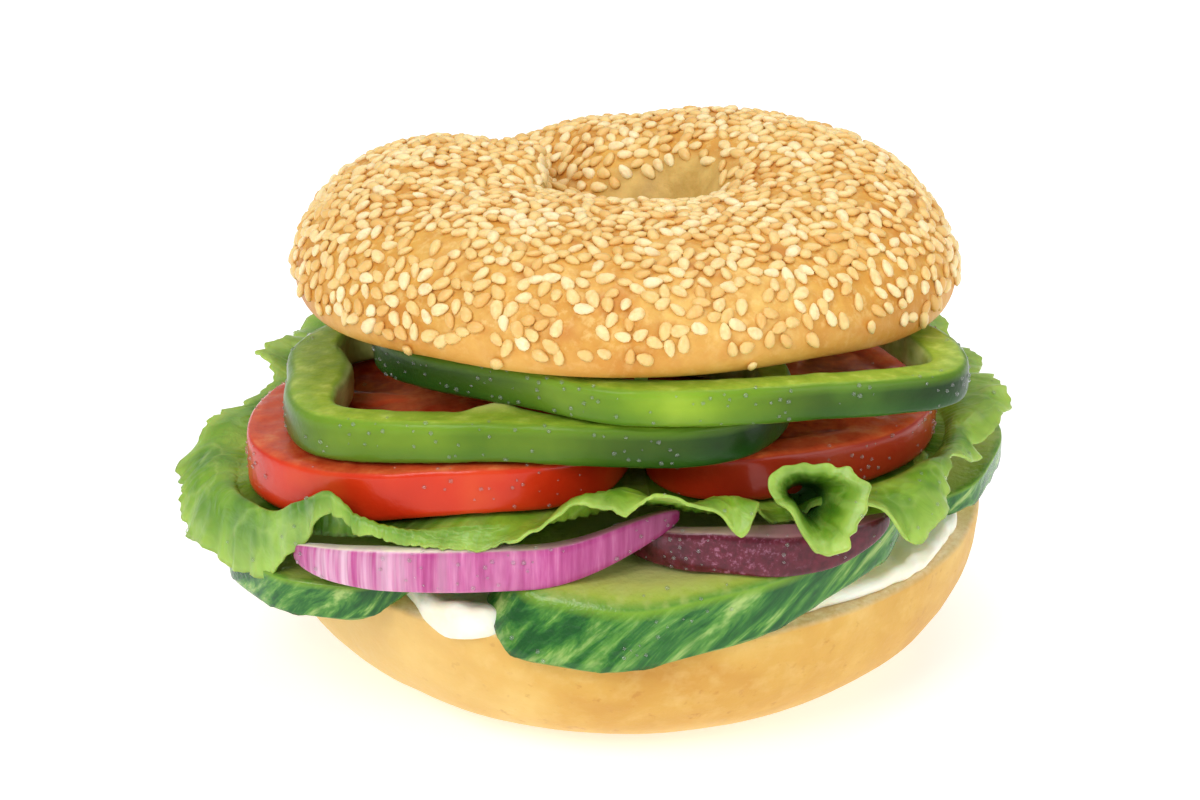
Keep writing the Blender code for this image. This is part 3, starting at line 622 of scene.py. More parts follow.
def dome_point(turn, sweep):
    """Point on the dome: sweep 0 is its widest line, 0.5 its crest, 1 the hole's bottom."""
    height = dome_height(turn)
    if sweep <= 0.5:
        angle = sweep * math.pi
        power = 2 / DOME_FULLNESS
        widest = TOP_RADIUS + swelling(turn, RIM_SWELLS)
        radius = CREST_RADIUS + (widest - CREST_RADIUS) * math.cos(angle) ** power
        rise = WIDEST_HEIGHT + (height - WIDEST_HEIGHT) * math.sin(angle) ** power
        shift = 0.0
    else:
        angle = (1 - sweep) * math.pi
        power = 2 / (FUNNEL_FULLNESS + NEAR_FULLNESS * bump(turn, 265, 100))
        width = max(0.0, math.cos(angle)) ** power
        radius = CREST_RADIUS - (CREST_RADIUS - TOP_HOLE) * width
        rise = HOLE_LIP + (height - HOLE_LIP) * math.sin(angle) ** power
        shift = width
    radius *= unevenness(turn, height)
    return Vector((radius * math.cos(turn) + shift * TOP_HOLE_SHIFT[0],
                   radius * math.sin(turn) + shift * TOP_HOLE_SHIFT[1], rise))


def lean_back(point):
    cosine, sine = math.cos(TOP_LEAN), math.sin(TOP_LEAN)
    x, y, z = point
    z -= END_DROOP * smooth_step(abs(x) / DROOP_START - 1) * (1 - z / TOP_HEIGHT)
    return TOP_CENTRE + Vector((x, y * cosine + z * sine, z * cosine - y * sine))


# The seam where the dough's ends meet, seen from above
SEAM = ((-15.0 * MM, 38 * MM), (-14.0 * MM, 28 * MM), (-13.0 * MM, 19 * MM),
        (-12.6 * MM, 11 * MM), (-12.4 * MM, 3 * MM))


def seam_distance(x, y):
    """Signed distance to the seam, positive on its left, and the share along it."""
    best, side, along = 1.0, 1.0, 0.0
    for k, ((ax, ay), (bx, by)) in enumerate(zip(SEAM, SEAM[1:])):
        dx, dy = bx - ax, by - ay
        share = ((x - ax) * dx + (y - ay) * dy) / (dx * dx + dy * dy)
        held = min(1.0, max(0.0, share))
        gap = math.hypot(x - ax - held * dx, y - ay - held * dy)
        if gap < best:
            best = gap
            side = math.copysign(1.0, (y - ay) * dx - (x - ax) * dy)
            along = (k + held) / (len(SEAM) - 1)
    return best * -side, along


def make_top_crust():
    dome_steps = 128
    section = [("dome", step / dome_steps) for step in range(dome_steps + 1)]
    section += [("cut", step / 30) for step in range(1, 30)]
    section += [("lower", step / 10) for step in range(10)]

    def rule(turn, entry):
        part, share = entry
        marks = {"crumb": 0.0, "funnel": 0.0, "low": 0.0, "seedy": 0.0}
        if part == "dome":
            point = dome_point(turn, share)
            reach = 0.003
            along = (dome_point(turn, min(1.0, share + reach))
                     - dome_point(turn, max(0.0, share - reach)))
            aside = dome_point(turn + reach, share) - dome_point(turn - reach, share)
            outwards = aside.cross(along).normalized()
            lumps = (0.55 * ripple(point, 13 * MM, 4) + 0.22 * ripple(point, 4.5 * MM, 5)
                     + 0.07 * ripple(point, 1.7 * MM, 6))
            point += outwards * (lumps * MM * smooth_step(share / 0.05))
            gap, run = seam_distance(point.x, point.y)
            if run > 0.0 and share > 0.22:
                depth = smooth_step(run / 0.3) * smooth_step((point.y + 3 * MM) / (8 * MM))
                cliff = smooth_step((0.9 * MM - gap) / (1.6 * MM))
                below = math.exp(-(min(0.0, gap) / (7 * MM)) ** 2)
                shoulder = math.exp(-(max(0.0, gap) / (7 * MM)) ** 2) * (1 - cliff)
                point.z += depth * MM * (1.4 * shoulder - 3.6 * below * cliff)
            marks["funnel"] = smooth_step((share - 0.66) / 0.12)
            marks["low"] = 0.6 * smooth_step(1 - share / 0.10)
            bare = smooth_step((ripple(point, 12 * MM, 8) - 0.15) / 0.3)
            seedy = smooth_step((share + 0.055) / 0.07) * (1 - smooth_step((share - 0.72) / 0.10))
            seedy = max(seedy, 0.18 * smooth_step(1.9 - 2 * share) if share > 0.7 else 0.0)
            front = smooth_step(1 - share / 0.42) * smooth_step((point.x + 34 * MM) / (26 * MM))
            marks["seedy"] = seedy * (1 - 0.15 * bare) * (1 - 0.26 * front)
        elif part == "cut":
            inner, outer = dome_point(turn, 1.0), dome_point(turn, 0.0)
            inner.z = outer.z = 0
            point = inner.lerp(outer, 0.03 + 0.925 * share)
            point.z += 0.3 * MM * abs(ripple(point, 1.6 * MM, 7))
            marks["crumb"] = smooth_step(8 * (1 - share))
        else:
            outer = dome_point(turn, 0.0)
            angle = share * math.pi / 2
            scale = 0.955 + 0.045 * math.sin(angle)
            point = Vector((outer.x * scale, outer.y * scale,
                            WIDEST_HEIGHT * (1 - math.cos(angle))))
            marks["low"] = 0.6
            marks["seedy"] = 0.12 * share
        return lean_back(point), marks

    return ring_piece("crust_top", rule, 384, section)


# Scattered things

SEED_LENGTH = 3.15 * MM
SEED_WIDTH = 2.05 * MM
SEED_THICKNESS = 1.25 * MM
SEED_LIFT = 0.28 * MM


def unit_object(name, shape):
    mesh = bpy.data.meshes.new(name)
    shape.to_mesh(mesh)
    shape.free()
    mesh.shade_smooth()
    return bpy.data.objects.new(name, mesh)


def seed_unit():
    """One sesame seed lying flat: a teardrop, a little sunk where it rests."""
    shape = bmesh.new()
    bmesh.ops.create_uvsphere(shape, u_segments=8, v_segments=5, radius=0.5)
    for vertex in shape.verts:
        z, y, x = vertex.co
        taper = 1 - 0.55 * x - 0.2 * x * x
        vertex.co = (SEED_LENGTH * x, SEED_WIDTH * y * taper,
                     SEED_THICKNESS * z * (1 - 0.3 * x) + SEED_LIFT)
    return unit_object("seed_unit", shape)


def drop_unit():
    """One bead of water: a low dome with its foot in the surface."""
    shape = bmesh.new()
    bmesh.ops.create_uvsphere(shape, u_segments=8, v_segments=5, radius=0.5)
    for vertex in shape.verts:
        x, y, z = vertex.co
        vertex.co = (x * MM, y * MM, (0.75 * z + 0.05) * MM)
    return unit_object("drop_unit", shape)


def wet_host(pieces):
    """One mesh of all the wet pieces; the mark wet says how many drops a point gets."""
    points, faces, wet = [], [], []
    for piece, share in pieces:
        mesh = piece.data
        base = len(points)
        for vertex in mesh.vertices:
            place = vertex.co - MIDDLE
            away = Vector((place.x, place.y, 0)).normalized()
            facing = vertex.normal.dot((0.9 * away + Vector((0, 0, 0.45))).normalized())
            patch = smooth_step((ripple(place, 13 * MM, 31) + 0.25) / 0.4)
            outer = smooth_step((place.xy.length - 36 * MM) / (6 * MM))
            points.append(vertex.co[:])
            wet.append(share * patch * outer * smooth_step((facing - 0.45) / 0.25))
        for polygon in mesh.polygons:
            faces.append([base + corner for corner in polygon.vertices])
    mesh = bpy.data.meshes.new("wet_host")
    mesh.from_pydata(points, [], faces)
    mark_points(mesh, "wet", wet)
    return bpy.data.objects.new("wet_host", mesh)


def scatter_tree(unit, material):
    """Puts copies of unit on a surface, thinned by the point attribute chosen."""
    tree = bpy.data.node_groups.new("scatter_" + unit.name, "GeometryNodeTree")
    face = tree.interface
    face.new_socket("Surface", in_out="INPUT", socket_type="NodeSocketGeometry")
    for label in ("Spacing", "Density", "Smallest", "Largest", "Tilt"):
        face.new_socket(label, in_out="INPUT", socket_type="NodeSocketFloat")
    face.new_socket("Draw", in_out="INPUT", socket_type="NodeSocketInt")
    face.new_socket("Result", in_out="OUTPUT", socket_type="NodeSocketGeometry")
    nodes, links = tree.nodes, tree.links

    def add(kind, values=(), **settings):
        """A node with its settings, its input sockets linked or set in order of values."""
        node = nodes.new(kind)
        for key, value in settings.items():
            setattr(node, key, value)
        for key, value in dict(values).items():
            socket = node.inputs[key]
            if isinstance(value, bpy.types.NodeSocket):
                links.new(value, socket)
            else:
                socket.default_value = value
        return node

    given = add("NodeGroupInput").outputs
    share = add("GeometryNodeInputNamedAttribute", {"Name": "chosen"}, data_type="FLOAT")
    points = add("GeometryNodeDistributePointsOnFaces", {
        "Mesh": given["Surface"], "Distance Min": given["Spacing"],
        "Density Max": given["Density"], "Seed": given["Draw"],
        "Density Factor": share.outputs["Attribute"]}, distribute_method="POISSON")

    def random_value(low, high, number):
        draw = add("ShaderNodeMath", {0: given["Draw"], 1: number})
        node = add("FunctionNodeRandomValue", {"Seed": draw.outputs[0]}, data_type="FLOAT")
        bounds = [socket for socket in node.inputs if socket.enabled]
        for socket, value in zip(bounds, (low, high)):
            if isinstance(value, bpy.types.NodeSocket):
                links.new(value, socket)
            else:
                socket.default_value = value
        return next(socket for socket in node.outputs if socket.enabled)

    back = add("ShaderNodeMath", {0: given["Tilt"], 1: -1}, operation="MULTIPLY").outputs[0]
    angles = add("ShaderNodeCombineXYZ", {"X": random_value(back, given["Tilt"], 1),
                                          "Y": random_value(back, given["Tilt"], 2),
                                          "Z": random_value(0.0, math.tau, 3)})
    turned = add("FunctionNodeEulerToRotation", {0: angles.outputs[0]})
    facing = add("FunctionNodeRotateRotation",
                 {0: points.outputs["Rotation"], 1: turned.outputs[0]}, rotation_space="LOCAL")
    source = add("GeometryNodeObjectInfo", {"Object": unit})
    copies = add("GeometryNodeInstanceOnPoints", {
        "Points": points.outputs["Points"], "Instance": source.outputs["Geometry"],
        "Rotation": facing.outputs[0],
        "Scale": random_value(given["Smallest"], given["Largest"], 4)})
    tone = add("GeometryNodeStoreNamedAttribute", {
        "Name": "tone", "Geometry": copies.outputs["Instances"],
        "Value": random_value(0.0, 1.0, 5)}, data_type="FLOAT", domain="INSTANCE")
    real = add("GeometryNodeRealizeInstances", {"Geometry": tone.outputs["Geometry"]})
    coat = add("GeometryNodeSetMaterial",
               {"Geometry": real.outputs["Geometry"], "Material": material})
    add("NodeGroupOutput", {"Result": coat.outputs["Geometry"]})
    return tree


def scatter(name, host, mark, tree, values):
    """Runs a scatter tree over a copy of host and keeps the result as a plain mesh."""
    mesh = host.data.copy()
    chosen = np.zeros(len(mesh.vertices), dtype=np.float32)
    mesh.attributes[mark].data.foreach_get("value", chosen)
    mark_points(mesh, "chosen", chosen)
    piece = show(name, mesh)
    modifier = piece.modifiers.new("scatter", "NODES")
    modifier.node_group = tree
    for item in tree.interface.items_tree:
        if item.in_out == "INPUT" and item.name in values:
            modifier[item.identifier] = values[item.name]
    bake(piece, modifier)
    return piece


# Cream cheese

CREAM_PUSHES = ((242, 12, 1.0), (325, 26, 0.8))
CREAM_LEFT_BLOB = ((243, 13, 1.0),)
CREAM_RIGHT_BLOBS = ((322, 10, 1.0), (338, 8, 0.7))
CREAM_RADIUS = RIM_RADIUS - 2.6 * MM
CREAM_ROUND = 1.3 * MM
CREAM_INNER = BOTTOM_HOLE + 2.6 * MM
CREAM_INNER_ROUND = 1 * MM


def cream_edge(turn):
    """Reach of the cream: pushed out by the slices, thin at the left, uneven."""
    coarse = Vector((math.cos(turn), math.sin(turn), 0))
    fine = coarse + Vector((0, 0, 5))
    uneven = (0.5 * math.cos(7 * turn + 1) + 0.7 * noise.noise(coarse * 7)
              + 0.35 * noise.noise(fine * 19))
    blobs = 1.3 * swelling(turn, CREAM_LEFT_BLOB) + 0.7 * swelling(turn, CREAM_RIGHT_BLOBS)
    pushed = 3.2 * swelling(turn, CREAM_PUSHES) - 3.6 * bump(turn, 211, 27)
    return CREAM_RADIUS + MM * (uneven + blobs + pushed)


def make_cream():
    section = [("outer", step / 12) for step in range(13)]
    section += [("top", step / 24) for step in range(1, 25)]
    section += [("inner", step / 6) for step in range(1, 7)]
    section += [("under", step / 14) for step in range(1, 14)]
    spread = CREAM_THICKNESS + GAP
    low = CUT_HEIGHT + 0.05 * MM
    inner = CREAM_INNER + CREAM_INNER_ROUND

    def rule(turn, entry):
        part, share = entry
        left_blob = swelling(turn, CREAM_LEFT_BLOB)
        right_blob = swelling(turn, CREAM_RIGHT_BLOBS)
        lip = cream_edge(turn) - CREAM_ROUND
        extra = MM * (0.3 * bump(turn, 330, 60) + 2.4 * left_blob + 0.9 * right_blob)
        drip = 1.6 * MM * left_blob
        if part == "outer":
            angle = (share - 0.5) * math.pi
            radius = lip + CREAM_ROUND * math.cos(angle)
            height = (low + (spread + extra) * (0.5 + 0.5 * math.sin(angle))
                      - drip * smooth_step(1 - 1.6 * share))
        elif part == "top":
            radius = lip + (inner - lip) * share
            height = low + spread + extra * smooth_step(1 - share / 0.12)
        elif part == "inner":
            angle = share * math.pi
            radius = inner - CREAM_INNER_ROUND * math.sin(angle)
            height = low + CREAM_THICKNESS * (0.5 + 0.5 * math.cos(angle))
        else:
            radius = inner + (lip - inner) * share
            height = low - drip * smooth_step((share - 0.93) / 0.07)
        point = Vector((radius * math.cos(turn), radius * math.sin(turn), height))
        if part in ("outer", "top"):
            lump = 0.3 + 0.9 * (left_blob + right_blob)
            near_edge = 1 - share if part == "top" else share
            point.z += lump * MM * ripple(point, 3.6 * MM, 9) * near_edge
            away = Vector((math.cos(turn), math.sin(turn), 0))
            point += away * (0.7 * lump * MM * ripple(point, 2.6 * MM, 10) * near_edge)
        return point, {}

    return ring_piece("cream", rule, 360, section)


# Cucumber and tomato slices

def flat_height(middle, thickness, over_rim=0.0, lifted=0.0):
    """Height rule of a slice on the cream: it hangs beyond the bagel's rim, and lifted
    is how far its right end rides up on the next slice."""
    def height(x, y, rise):
        level = middle + thickness * rise + lifted * (max(0.0, x) / LIFT_REACH) ** 2
        beyond = smooth_step((math.hypot(x, y) - HANG_START) / HANG_LENGTH)
        return level - over_rim * beyond * (0.85 - 0.3 * rise)
    return height


def layer_height(levels):
    low, high = levels

    def height(x, y, rise):
        return settle(x, y, low + (high - low) * (rise + 0.5))
    return height


def slice_section(face_steps, corner):
    """Share of the radius, rise and skin mark from the lower pole to the upper one."""
    lower = [(math.sin(step / face_steps * math.pi / 2) * (1 - corner), -0.5, 0.0)
             for step in range(face_steps + 1)]
    lower += [(1 - corner * 0.3, -0.485, 0.0), (1 - corner * 0.06, -0.45, 1.0)]
    side = [(1.0, -0.36 + 0.09 * step, 1.0) for step in range(9)]
    return lower + side + [(ring, -rise, skin) for ring, rise, skin in reversed(lower)]


def make_slice(name, centre, outline, height, spin=0.0, bias=(0, 0), corner=0.05,
               relief=None):
    """A flat slice. Its marks: radial and skin, angle round it and level up its side."""
    cosine, sine = math.cos(math.radians(spin)), math.sin(math.radians(spin))

    def rule(turn, entry):
        ring, rise, skin = entry
        place = outline(turn) * ring
        x = centre[0] + place.x * cosine - place.y * sine + bias[0] * rise
        y = centre[1] + place.x * sine + place.y * cosine + bias[1] * rise
        point = Vector((x, y, height(x, y, rise)))
        marks = {"radial": ring, "skin": skin, "angle": turn / math.tau, "level": rise + 0.5}
        if relief:
            relief(point, place, ring, rise, turn, marks)
        return point, marks

    return round_piece(name, rule, 150, slice_section(16, corner))


def cucumber_relief(point, place, ring, rise, turn, marks):
    if marks["skin"] > 0.5:
        edge = ripple((9 * math.cos(turn), 9 * math.sin(turn), 0), 1.0, 14)
        point.z += 0.9 * MM * edge * (0.5 - rise)
    elif ring < 0.9:
        point.z += (0.12 * MM * ripple(point, 2.2 * MM, 11)) * (1 if rise > 0 else -1)


FRONT_CUCUMBER = flat_height(CREAM_TOP + GAP + 3.3 * MM, 6.6 * MM, 6.0 * MM, 7.2 * MM)
CUCUMBERS = {
    "cucumber_front": ((13, -39.5), (35, 18), FRONT_CUCUMBER, 22, (3, 2.5)),
    "cucumber_left": ((-42, -27), (21, 20.5),
                      flat_height(CREAM_TOP + GAP + 2.45 * MM, 4.9 * MM, 4.0 * MM), 0, (0, 0)),
    "cucumber_right": ((41, 3), (21, 27),
                       flat_height(CREAM_TOP + GAP + 2.0 * MM, 4.0 * MM, -1.5 * MM), 0, (0, 0)),
    "cucumber_back_left": ((-24, 26), (26, 24),
                           flat_height(CREAM_TOP + GAP + 2.5 * MM, 5.0 * MM), 0, (0, 0)),
    "cucumber_back_right": ((26, 44), (20, 12),
                            flat_height(CREAM_TOP + GAP + 2.5 * MM, 5.0 * MM, 1.5 * MM), 0, (0, 0)),
}


def make_cucumbers():
    made = {}
    for node, (centre, half, height, spin, bias) in CUCUMBERS.items():
        made[node] = make_slice(node.replace("cucumber", "cucumber_slice"),
                                [v * MM for v in centre], ribbed(half[0] * MM, half[1] * MM),
                                height, spin, [v * MM for v in bias], 0.035, cucumber_relief)
    return made


def tomato_relief(point, place, ring, rise, turn, marks):
    """Seed chambers between the walls, sunk into the cut faces."""
    chamber = 0.0
    if marks["skin"] < 0.5:
        wall = abs(math.cos(2.5 * turn + 0.8)) ** 0.7
        chamber = smooth_step((wall - 0.45) / 0.25) * smooth_step((ring - 0.22) / 0.1)
        chamber *= 1 - smooth_step((ring - 0.72) / 0.08)
        sunk = 0.7 * MM * chamber - 0.25 * MM * ripple(point, 2.5 * MM, 12)
        point.z -= sunk * (1 if rise > 0 else -1)
    marks["chamber"] = chamber
    # painted shade: darker towards the right, where the right slice lies in shadow
    marks["dark"] = 0.75 * smooth_step((point.x - 2 * MM) / (20 * MM))


def make_tomatoes():
    height = layer_height(TOMATO_LEVELS)
    return {node: make_slice(node.replace("tomato", "tomato_slice"), *TOMATOES[node], height,
                             corner=0.06, relief=tomato_relief)
            for node in TOMATOES}


# Onion strips

def left_onion_middle(x, y):
    lifted = smooth_step((x + 14 * MM) / (26 * MM)) * smooth_step((-40 * MM - y) / (8 * MM))
    return 35.9 * MM + 0.04 * (x + 21 * MM) - 0.05 * (y + 37 * MM) + 6.2 * MM * lifted


def right_onion_middle(x, y):
    return FRONT_CUCUMBER(x, y, 0.5) + 4.0 * MM


def back_onion_middle(x, y):
    return 36.1 * MM


ONIONS = {
    "onion_left": ((-19, -37), (34.5, 18), 2.5, 203, 318, 2.6, 7.4, left_onion_middle, 0.0),
    "onion_right": ((20, -36.5), (25, 17), 2.0, 208, 325, 2.6, 7.3, right_onion_middle, 1.0),
    "onion_back": ((0, 28), (40, 25), 2.0, -10, 190, 3.0, 5.4, back_onion_middle, 0.4),
}


def make_onion(node, centre, half, fullness, start, end, wall, height, middle, dark):
    centre = Vector((centre[0] * MM, centre[1] * MM, 0))
    half = (half[0] * MM, half[1] * MM)
    steps = 140
    section = [step / steps for step in range(steps + 1)]

    def rule(turn, along):
        angle = math.radians(start + (end - start) * along)
        taper = math.sin(math.pi * along) ** 0.4 if 0 < along < 1 else 0.0
        ahead = oval(angle + 0.02, *half, fullness) - oval(angle - 0.02, *half, fullness)
        outwards = Vector((ahead.y, -ahead.x, 0)).normalized()
        place = centre + oval(angle, *half, fullness)
        side, rise = signed_power(math.cos(turn), 0.35), signed_power(math.sin(turn), 0.42)
        bulge = 0.35 * MM * (1 - rise * rise) * taper
        wave = 0.25 * MM * ripple((along * 9, rise * 0.4, 0), 1.0, 13) * taper
        place += outwards * (wall * MM / 2 * taper * side + bulge + wave)
        place.z = middle(place.x, place.y) + height * MM / 2 * taper * rise
        cut = smooth_step((rise - 0.9) / 0.06) + smooth_step((-0.55 - side) / 0.2)
        return place, {"along": along, "level": rise * 0.5 + 0.5, "cut": min(1.0, cut),
                       "dark": dark}

    return round_piece(node.replace("onion", "onion_strip"), rule, 40, section)


# Lettuce leaf

# Its frilled edge: direction of the stem side and of the edge in degrees, then reach,
# height and how far the leaf arches up on its way there, in millimetres
LEAF_EDGE = np.array((
    (22, 22, 60, 40, 1), (36, 38, 62, 43, 1), (50, 48, 58, 38, 2), (64, 66, 62, 35, 3),
    (78, 76, 59, 42, 0), (92, 94, 62, 38, 2), (106, 105, 60, 34, 3), (120, 122, 64, 40, 1),
    (134, 132, 60, 43, 0), (148, 150, 64, 37, 2), (158, 158, 60, 40, 1),
    (165, 167, 62.5, 41.5, 0), (172, 172, 58.5, 39, 1), (180, 181, 64, 38, 1),
    (186, 184, 69, 36, 1), (192, 192, 73, 32.5, 2), (198, 197, 74.5, 29.5, 3),
    (204, 205, 73, 28, 4), (210, 213, 71, 27.5, 5), (216, 219, 70, 31, 5),
    (221, 224, 69, 38, 6), (226, 229, 68, 44, 5), (230, 232, 66.5, 41.5, 3),
    (237, 238, 63.5, 40.8, 1), (248, 248, 60.5, 40.8, 0), (254, 254, 59.5, 43, 0),
    (257.5, 257.5, 60, 45.6, 0.5), (260.5, 260.4, 60, 48.5, 1.5), (263.5, 263.7, 60, 50.2, 2),
    (266.5, 267.3, 60, 49.3, 3), (269.5, 269.9, 60, 48.4, 3.5), (271.5, 271.8, 59.5, 50, 2),
    (274, 273.6, 58.5, 50.6, 0), (278, 277.6, 59.5, 50.4, 0.3), (281.5, 281.3, 60, 49.3, 1),
    (284, 284, 60.5, 47.1, 3), (286.5, 286.3, 61, 45.1, 4), (288.5, 288.3, 60.5, 46.4, 3),
    (290, 289.8, 58.5, 47.5, 1), (292, 292, 54.5, 44, 0), (295, 295, 51, 42, 0),
    (299, 299, 52, 42, 0), (302, 302.5, 60, 46, 1),
    (305, 306, 65.5, 45.5, 2), (309, 310, 67, 40.3, 4), (313, 312, 68, 39, 5),
    (317, 318, 66, 41, 4), (322, 322, 63.5, 43, 3), (328, 328, 60.5, 44, 1),
    (336, 336, 61, 40.5, 2), (341, 340, 59, 41, 2), (349, 350, 62.6, 41.7, 2),
    (358, 358, 61.6, 42.8, 1), (365, 365, 59, 41.2, 1), (371, 371, 60.6, 39.8, 1),
))
STEM_RADIUS = 46 * MM


def covered_reach(turn):
    """How far from the middle the tomato slices cover a direction."""
    reach = 0.0
    for centre, outline in TOMATOES.values():
        for step in range(120):
            place = outline(math.tau * step / 120) + Vector((*centre, 0))
            away = (math.atan2(place.y, place.x) - turn + math.pi) % math.tau - math.pi
            if abs(away) < 0.05:
                reach = max(reach, place.length)
    return reach


def leaf_edge(turn):
    """How far the edge turns from a stem direction, its reach, height and arch."""
    stems = LEAF_EDGE[:, 0]
    count = len(stems)
    degrees = (math.degrees(turn) - stems[0]) % 360 + stems[0]
    ahead = int(np.searchsorted(stems, degrees, side="right")) % count
    before = ahead - 1
    part = ((degrees - stems[before]) % 360) / ((stems[ahead] - stems[before]) % 360)
    rows = [LEAF_EDGE[(before + step) % count, 1:].copy() for step in range(-1, 3)]
    for row, step in zip(rows, range(-1, 3)):
        row[0] -= stems[(before + step) % count]
    row = through(rows, part)
    return math.radians(row[0]), row[1] * MM, row[2] * MM, row[3] * MM


# The rolled trumpet at the leaf's front: its lip from the top left, its throat and foot
TRUMPET_LIP = np.array((
    (21.6, -54, 51.2), (24.4, -52.5, 52.8), (28.2, -52, 53.5), (31.5, -52.5, 53.2),
    (34.1, -53.5, 52.9), (36, -56, 51.2), (35.7, -58.5, 48.6), (34.8, -60.5, 45.9),
    (33.2, -61.8, 44.2), (30.7, -62.3, 43), (28.1, -61.5, 43.8), (25.9, -60, 46),
    (24.3, -58, 48), (22.2, -56, 49),
)) * MM
TRUMPET_THROAT = np.array((27.6, -55, 49)) * MM
TRUMPET_FOOT = np.array((26.5, -44.5, 44)) * MM


def trumpet_point(turn, share):
    """Point of the trumpet: share 0 is its foot between the layers, 1 its frilled lip."""
    lip = closed_curve(TRUMPET_LIP, turn / math.tau)
    middle = TRUMPET_FOOT + (TRUMPET_THROAT - TRUMPET_FOOT) * smooth_step(share * 1.15)
    flare = (0.3 + 0.7 * share ** 1.6) * smooth_step(share / 0.12 + 0.02)
    point = Vector(middle + (lip - TRUMPET_THROAT) * flare)
    wave = noise.noise(Vector((3 * math.cos(turn), 3 * math.sin(turn), 2 * share)))
    pleat = 0.05 * math.sin(3 * turn + 1) + 0.16 * wave
    point += Vector(lip - TRUMPET_THROAT) * (pleat * share * share)
    return point + Vector((0.3, 0, 0.5)) * (wave * share ** 3 * 1.1 * MM)


def make_leaf():
    around, flat_rings, frill_rings = 900, 8, 28

    def sample(turn):
        stem = max(STEM_RADIUS, covered_reach(turn) + 1.2 * MM)
        side_turn, reach, height, arch = leaf_edge(turn)
        reach = max(reach, stem + 2.5 * MM)
        stem_height = settle(stem * math.cos(turn), stem * math.sin(turn), LEAF_LEVEL)
        row = []
        for ring in range(1, flat_rings + 1):
            radius = stem * ring / flat_rings
            x, y = radius * math.cos(turn), radius * math.sin(turn)
            row.append((Vector((x, y, settle(x, y, LEAF_LEVEL))), 0.0))
        trip = Vector((math.cos(turn), math.sin(turn), 0))
        for ring in range(1, frill_rings + 1):
            out = ring / frill_rings
            teeth = (0.9 * noise.noise(trip * 14) + 0.8 * noise.noise(trip * 31)
                     + 0.5 * noise.noise(trip * 66)) * out ** 5 * (1 + bump(turn, 195, 45))
            radius = stem + (reach - stem) * out + teeth * MM
            direction = turn + side_turn * out
            rise = stem_height + (height - stem_height) * out + 4 * arch * out * (1 - out)
            place = Vector((radius * math.cos(direction), radius * math.sin(direction), rise))
            blister = 0.75 * ripple(place, 7 * MM, 21) + 0.3 * ripple(place, 2.6 * MM, 22)
            frill = 0.5 * math.sin(40 * turn + 3 * math.sin(5 * turn)) * out ** 3
            place.z += (blister + frill) * MM * smooth_step(out * 1.6)
            row.append((place, out))
        return row

    rows = [sample(math.tau * step / around) for step in range(around)]
    rings = flat_rings + frill_rings
    points = [Vector((0, 0, settle(0, 0, LEAF_LEVEL)))]
    marks = [(0.0, 0.0, 0.0)]
    for step, row in enumerate(rows):
        for point, out in row:
            points.append(point)
            marks.append((out, step / around, 0.0))
    faces = []
    for step in range(around):
        ahead = (step + 1) % around
        here, there = 1 + step * rings, 1 + ahead * rings
        faces.append((0, here, there))
        for ring in range(rings - 1):
            faces.append((here + ring, here + ring + 1, there + ring + 1, there + ring))
    base, bell, along = len(points), 120, 24
    for ring in range(along + 1):
        for step in range(bell):
            points.append(trumpet_point(math.tau * step / bell, ring / along))
            share = ring / along
            # the third mark is painted shade, strong at the trumpet's foot and throat and gone
            # towards its lip
            marks.append((0.25 + 0.75 * share, 0.8 + 0.1 * abs(2 * step / bell - 1),
                          0.95 * (1 - smooth_step((share - 0.22) / 0.35))))
    for ring in range(along):
        low, high = base + ring * bell, base + (ring + 1) * bell
        for step in range(bell):
            ahead = (step + 1) % bell
            faces.append((low + step, low + ahead, high + ahead, high + step))
    mesh = bpy.data.meshes.new("lettuce")
    mesh.from_pydata([tuple(point + MIDDLE) for point in points], [], faces)
    for key, values in zip(("out", "fan", "painted_shade"), zip(*marks)):
        mark_points(mesh, key, values)
    leaf = show("lettuce", mesh)
    wall = leaf.modifiers.new("thickness", "SOLIDIFY")
    wall.thickness = 0.5 * MM
    wall.offset = 0
    bake(leaf, wall)
    leaf.data.shade_smooth()
    return leaf


# Pepper rings

PEPPERS = {
    "pepper_front_left": ((-14, -30), hand_cut(FRONT_LEFT_REACH), LOWER_PEPPER_LEVELS, 6.0,
                          ((166, 34, 4.5), (256, 20, 2.5))),
    "pepper_front_right": ((6, -25), hand_cut(FRONT_RIGHT_REACH), UPPER_PEPPER_LEVELS, 6.0,
                           ((4, 25, 2.0),)),
    "pepper_back_lower": ((6, 29), lobed(42 * MM, 20 * MM, 2.6, 4), LOWER_PEPPER_LEVELS, 6.0,
                          ((60, 30, 2.0),)),
    "pepper_back_upper": ((-6, 32), lobed(39 * MM, 17 * MM, 2.6, 4), UPPER_PEPPER_LEVELS, 5.5,
                          ((200, 30, 2.0),)),
}


def painted_skin_shade(node, x):
    """Painted light and shade on a ring's skin along the front, 0 lit bright green to 1 shaded dark
    green.
    """
    if node == "pepper_front_left":
        return float(np.interp(x, (-0.056, -0.046, -0.030, -0.015, 0.0, 0.012, 0.025),
                               (0.9, 0.45, 0.35, 0.5, 0.75, 0.95, 1.0)))
    if node == "pepper_front_right":
        return float(np.interp(x, (-0.040, -0.024, -0.012, 0.0, 0.010, 0.020, 0.030, 0.05),
                               (1.0, 0.85, 0.5, 0.1, 0.05, 0.35, 0.85, 1.0)))
    return 0.7


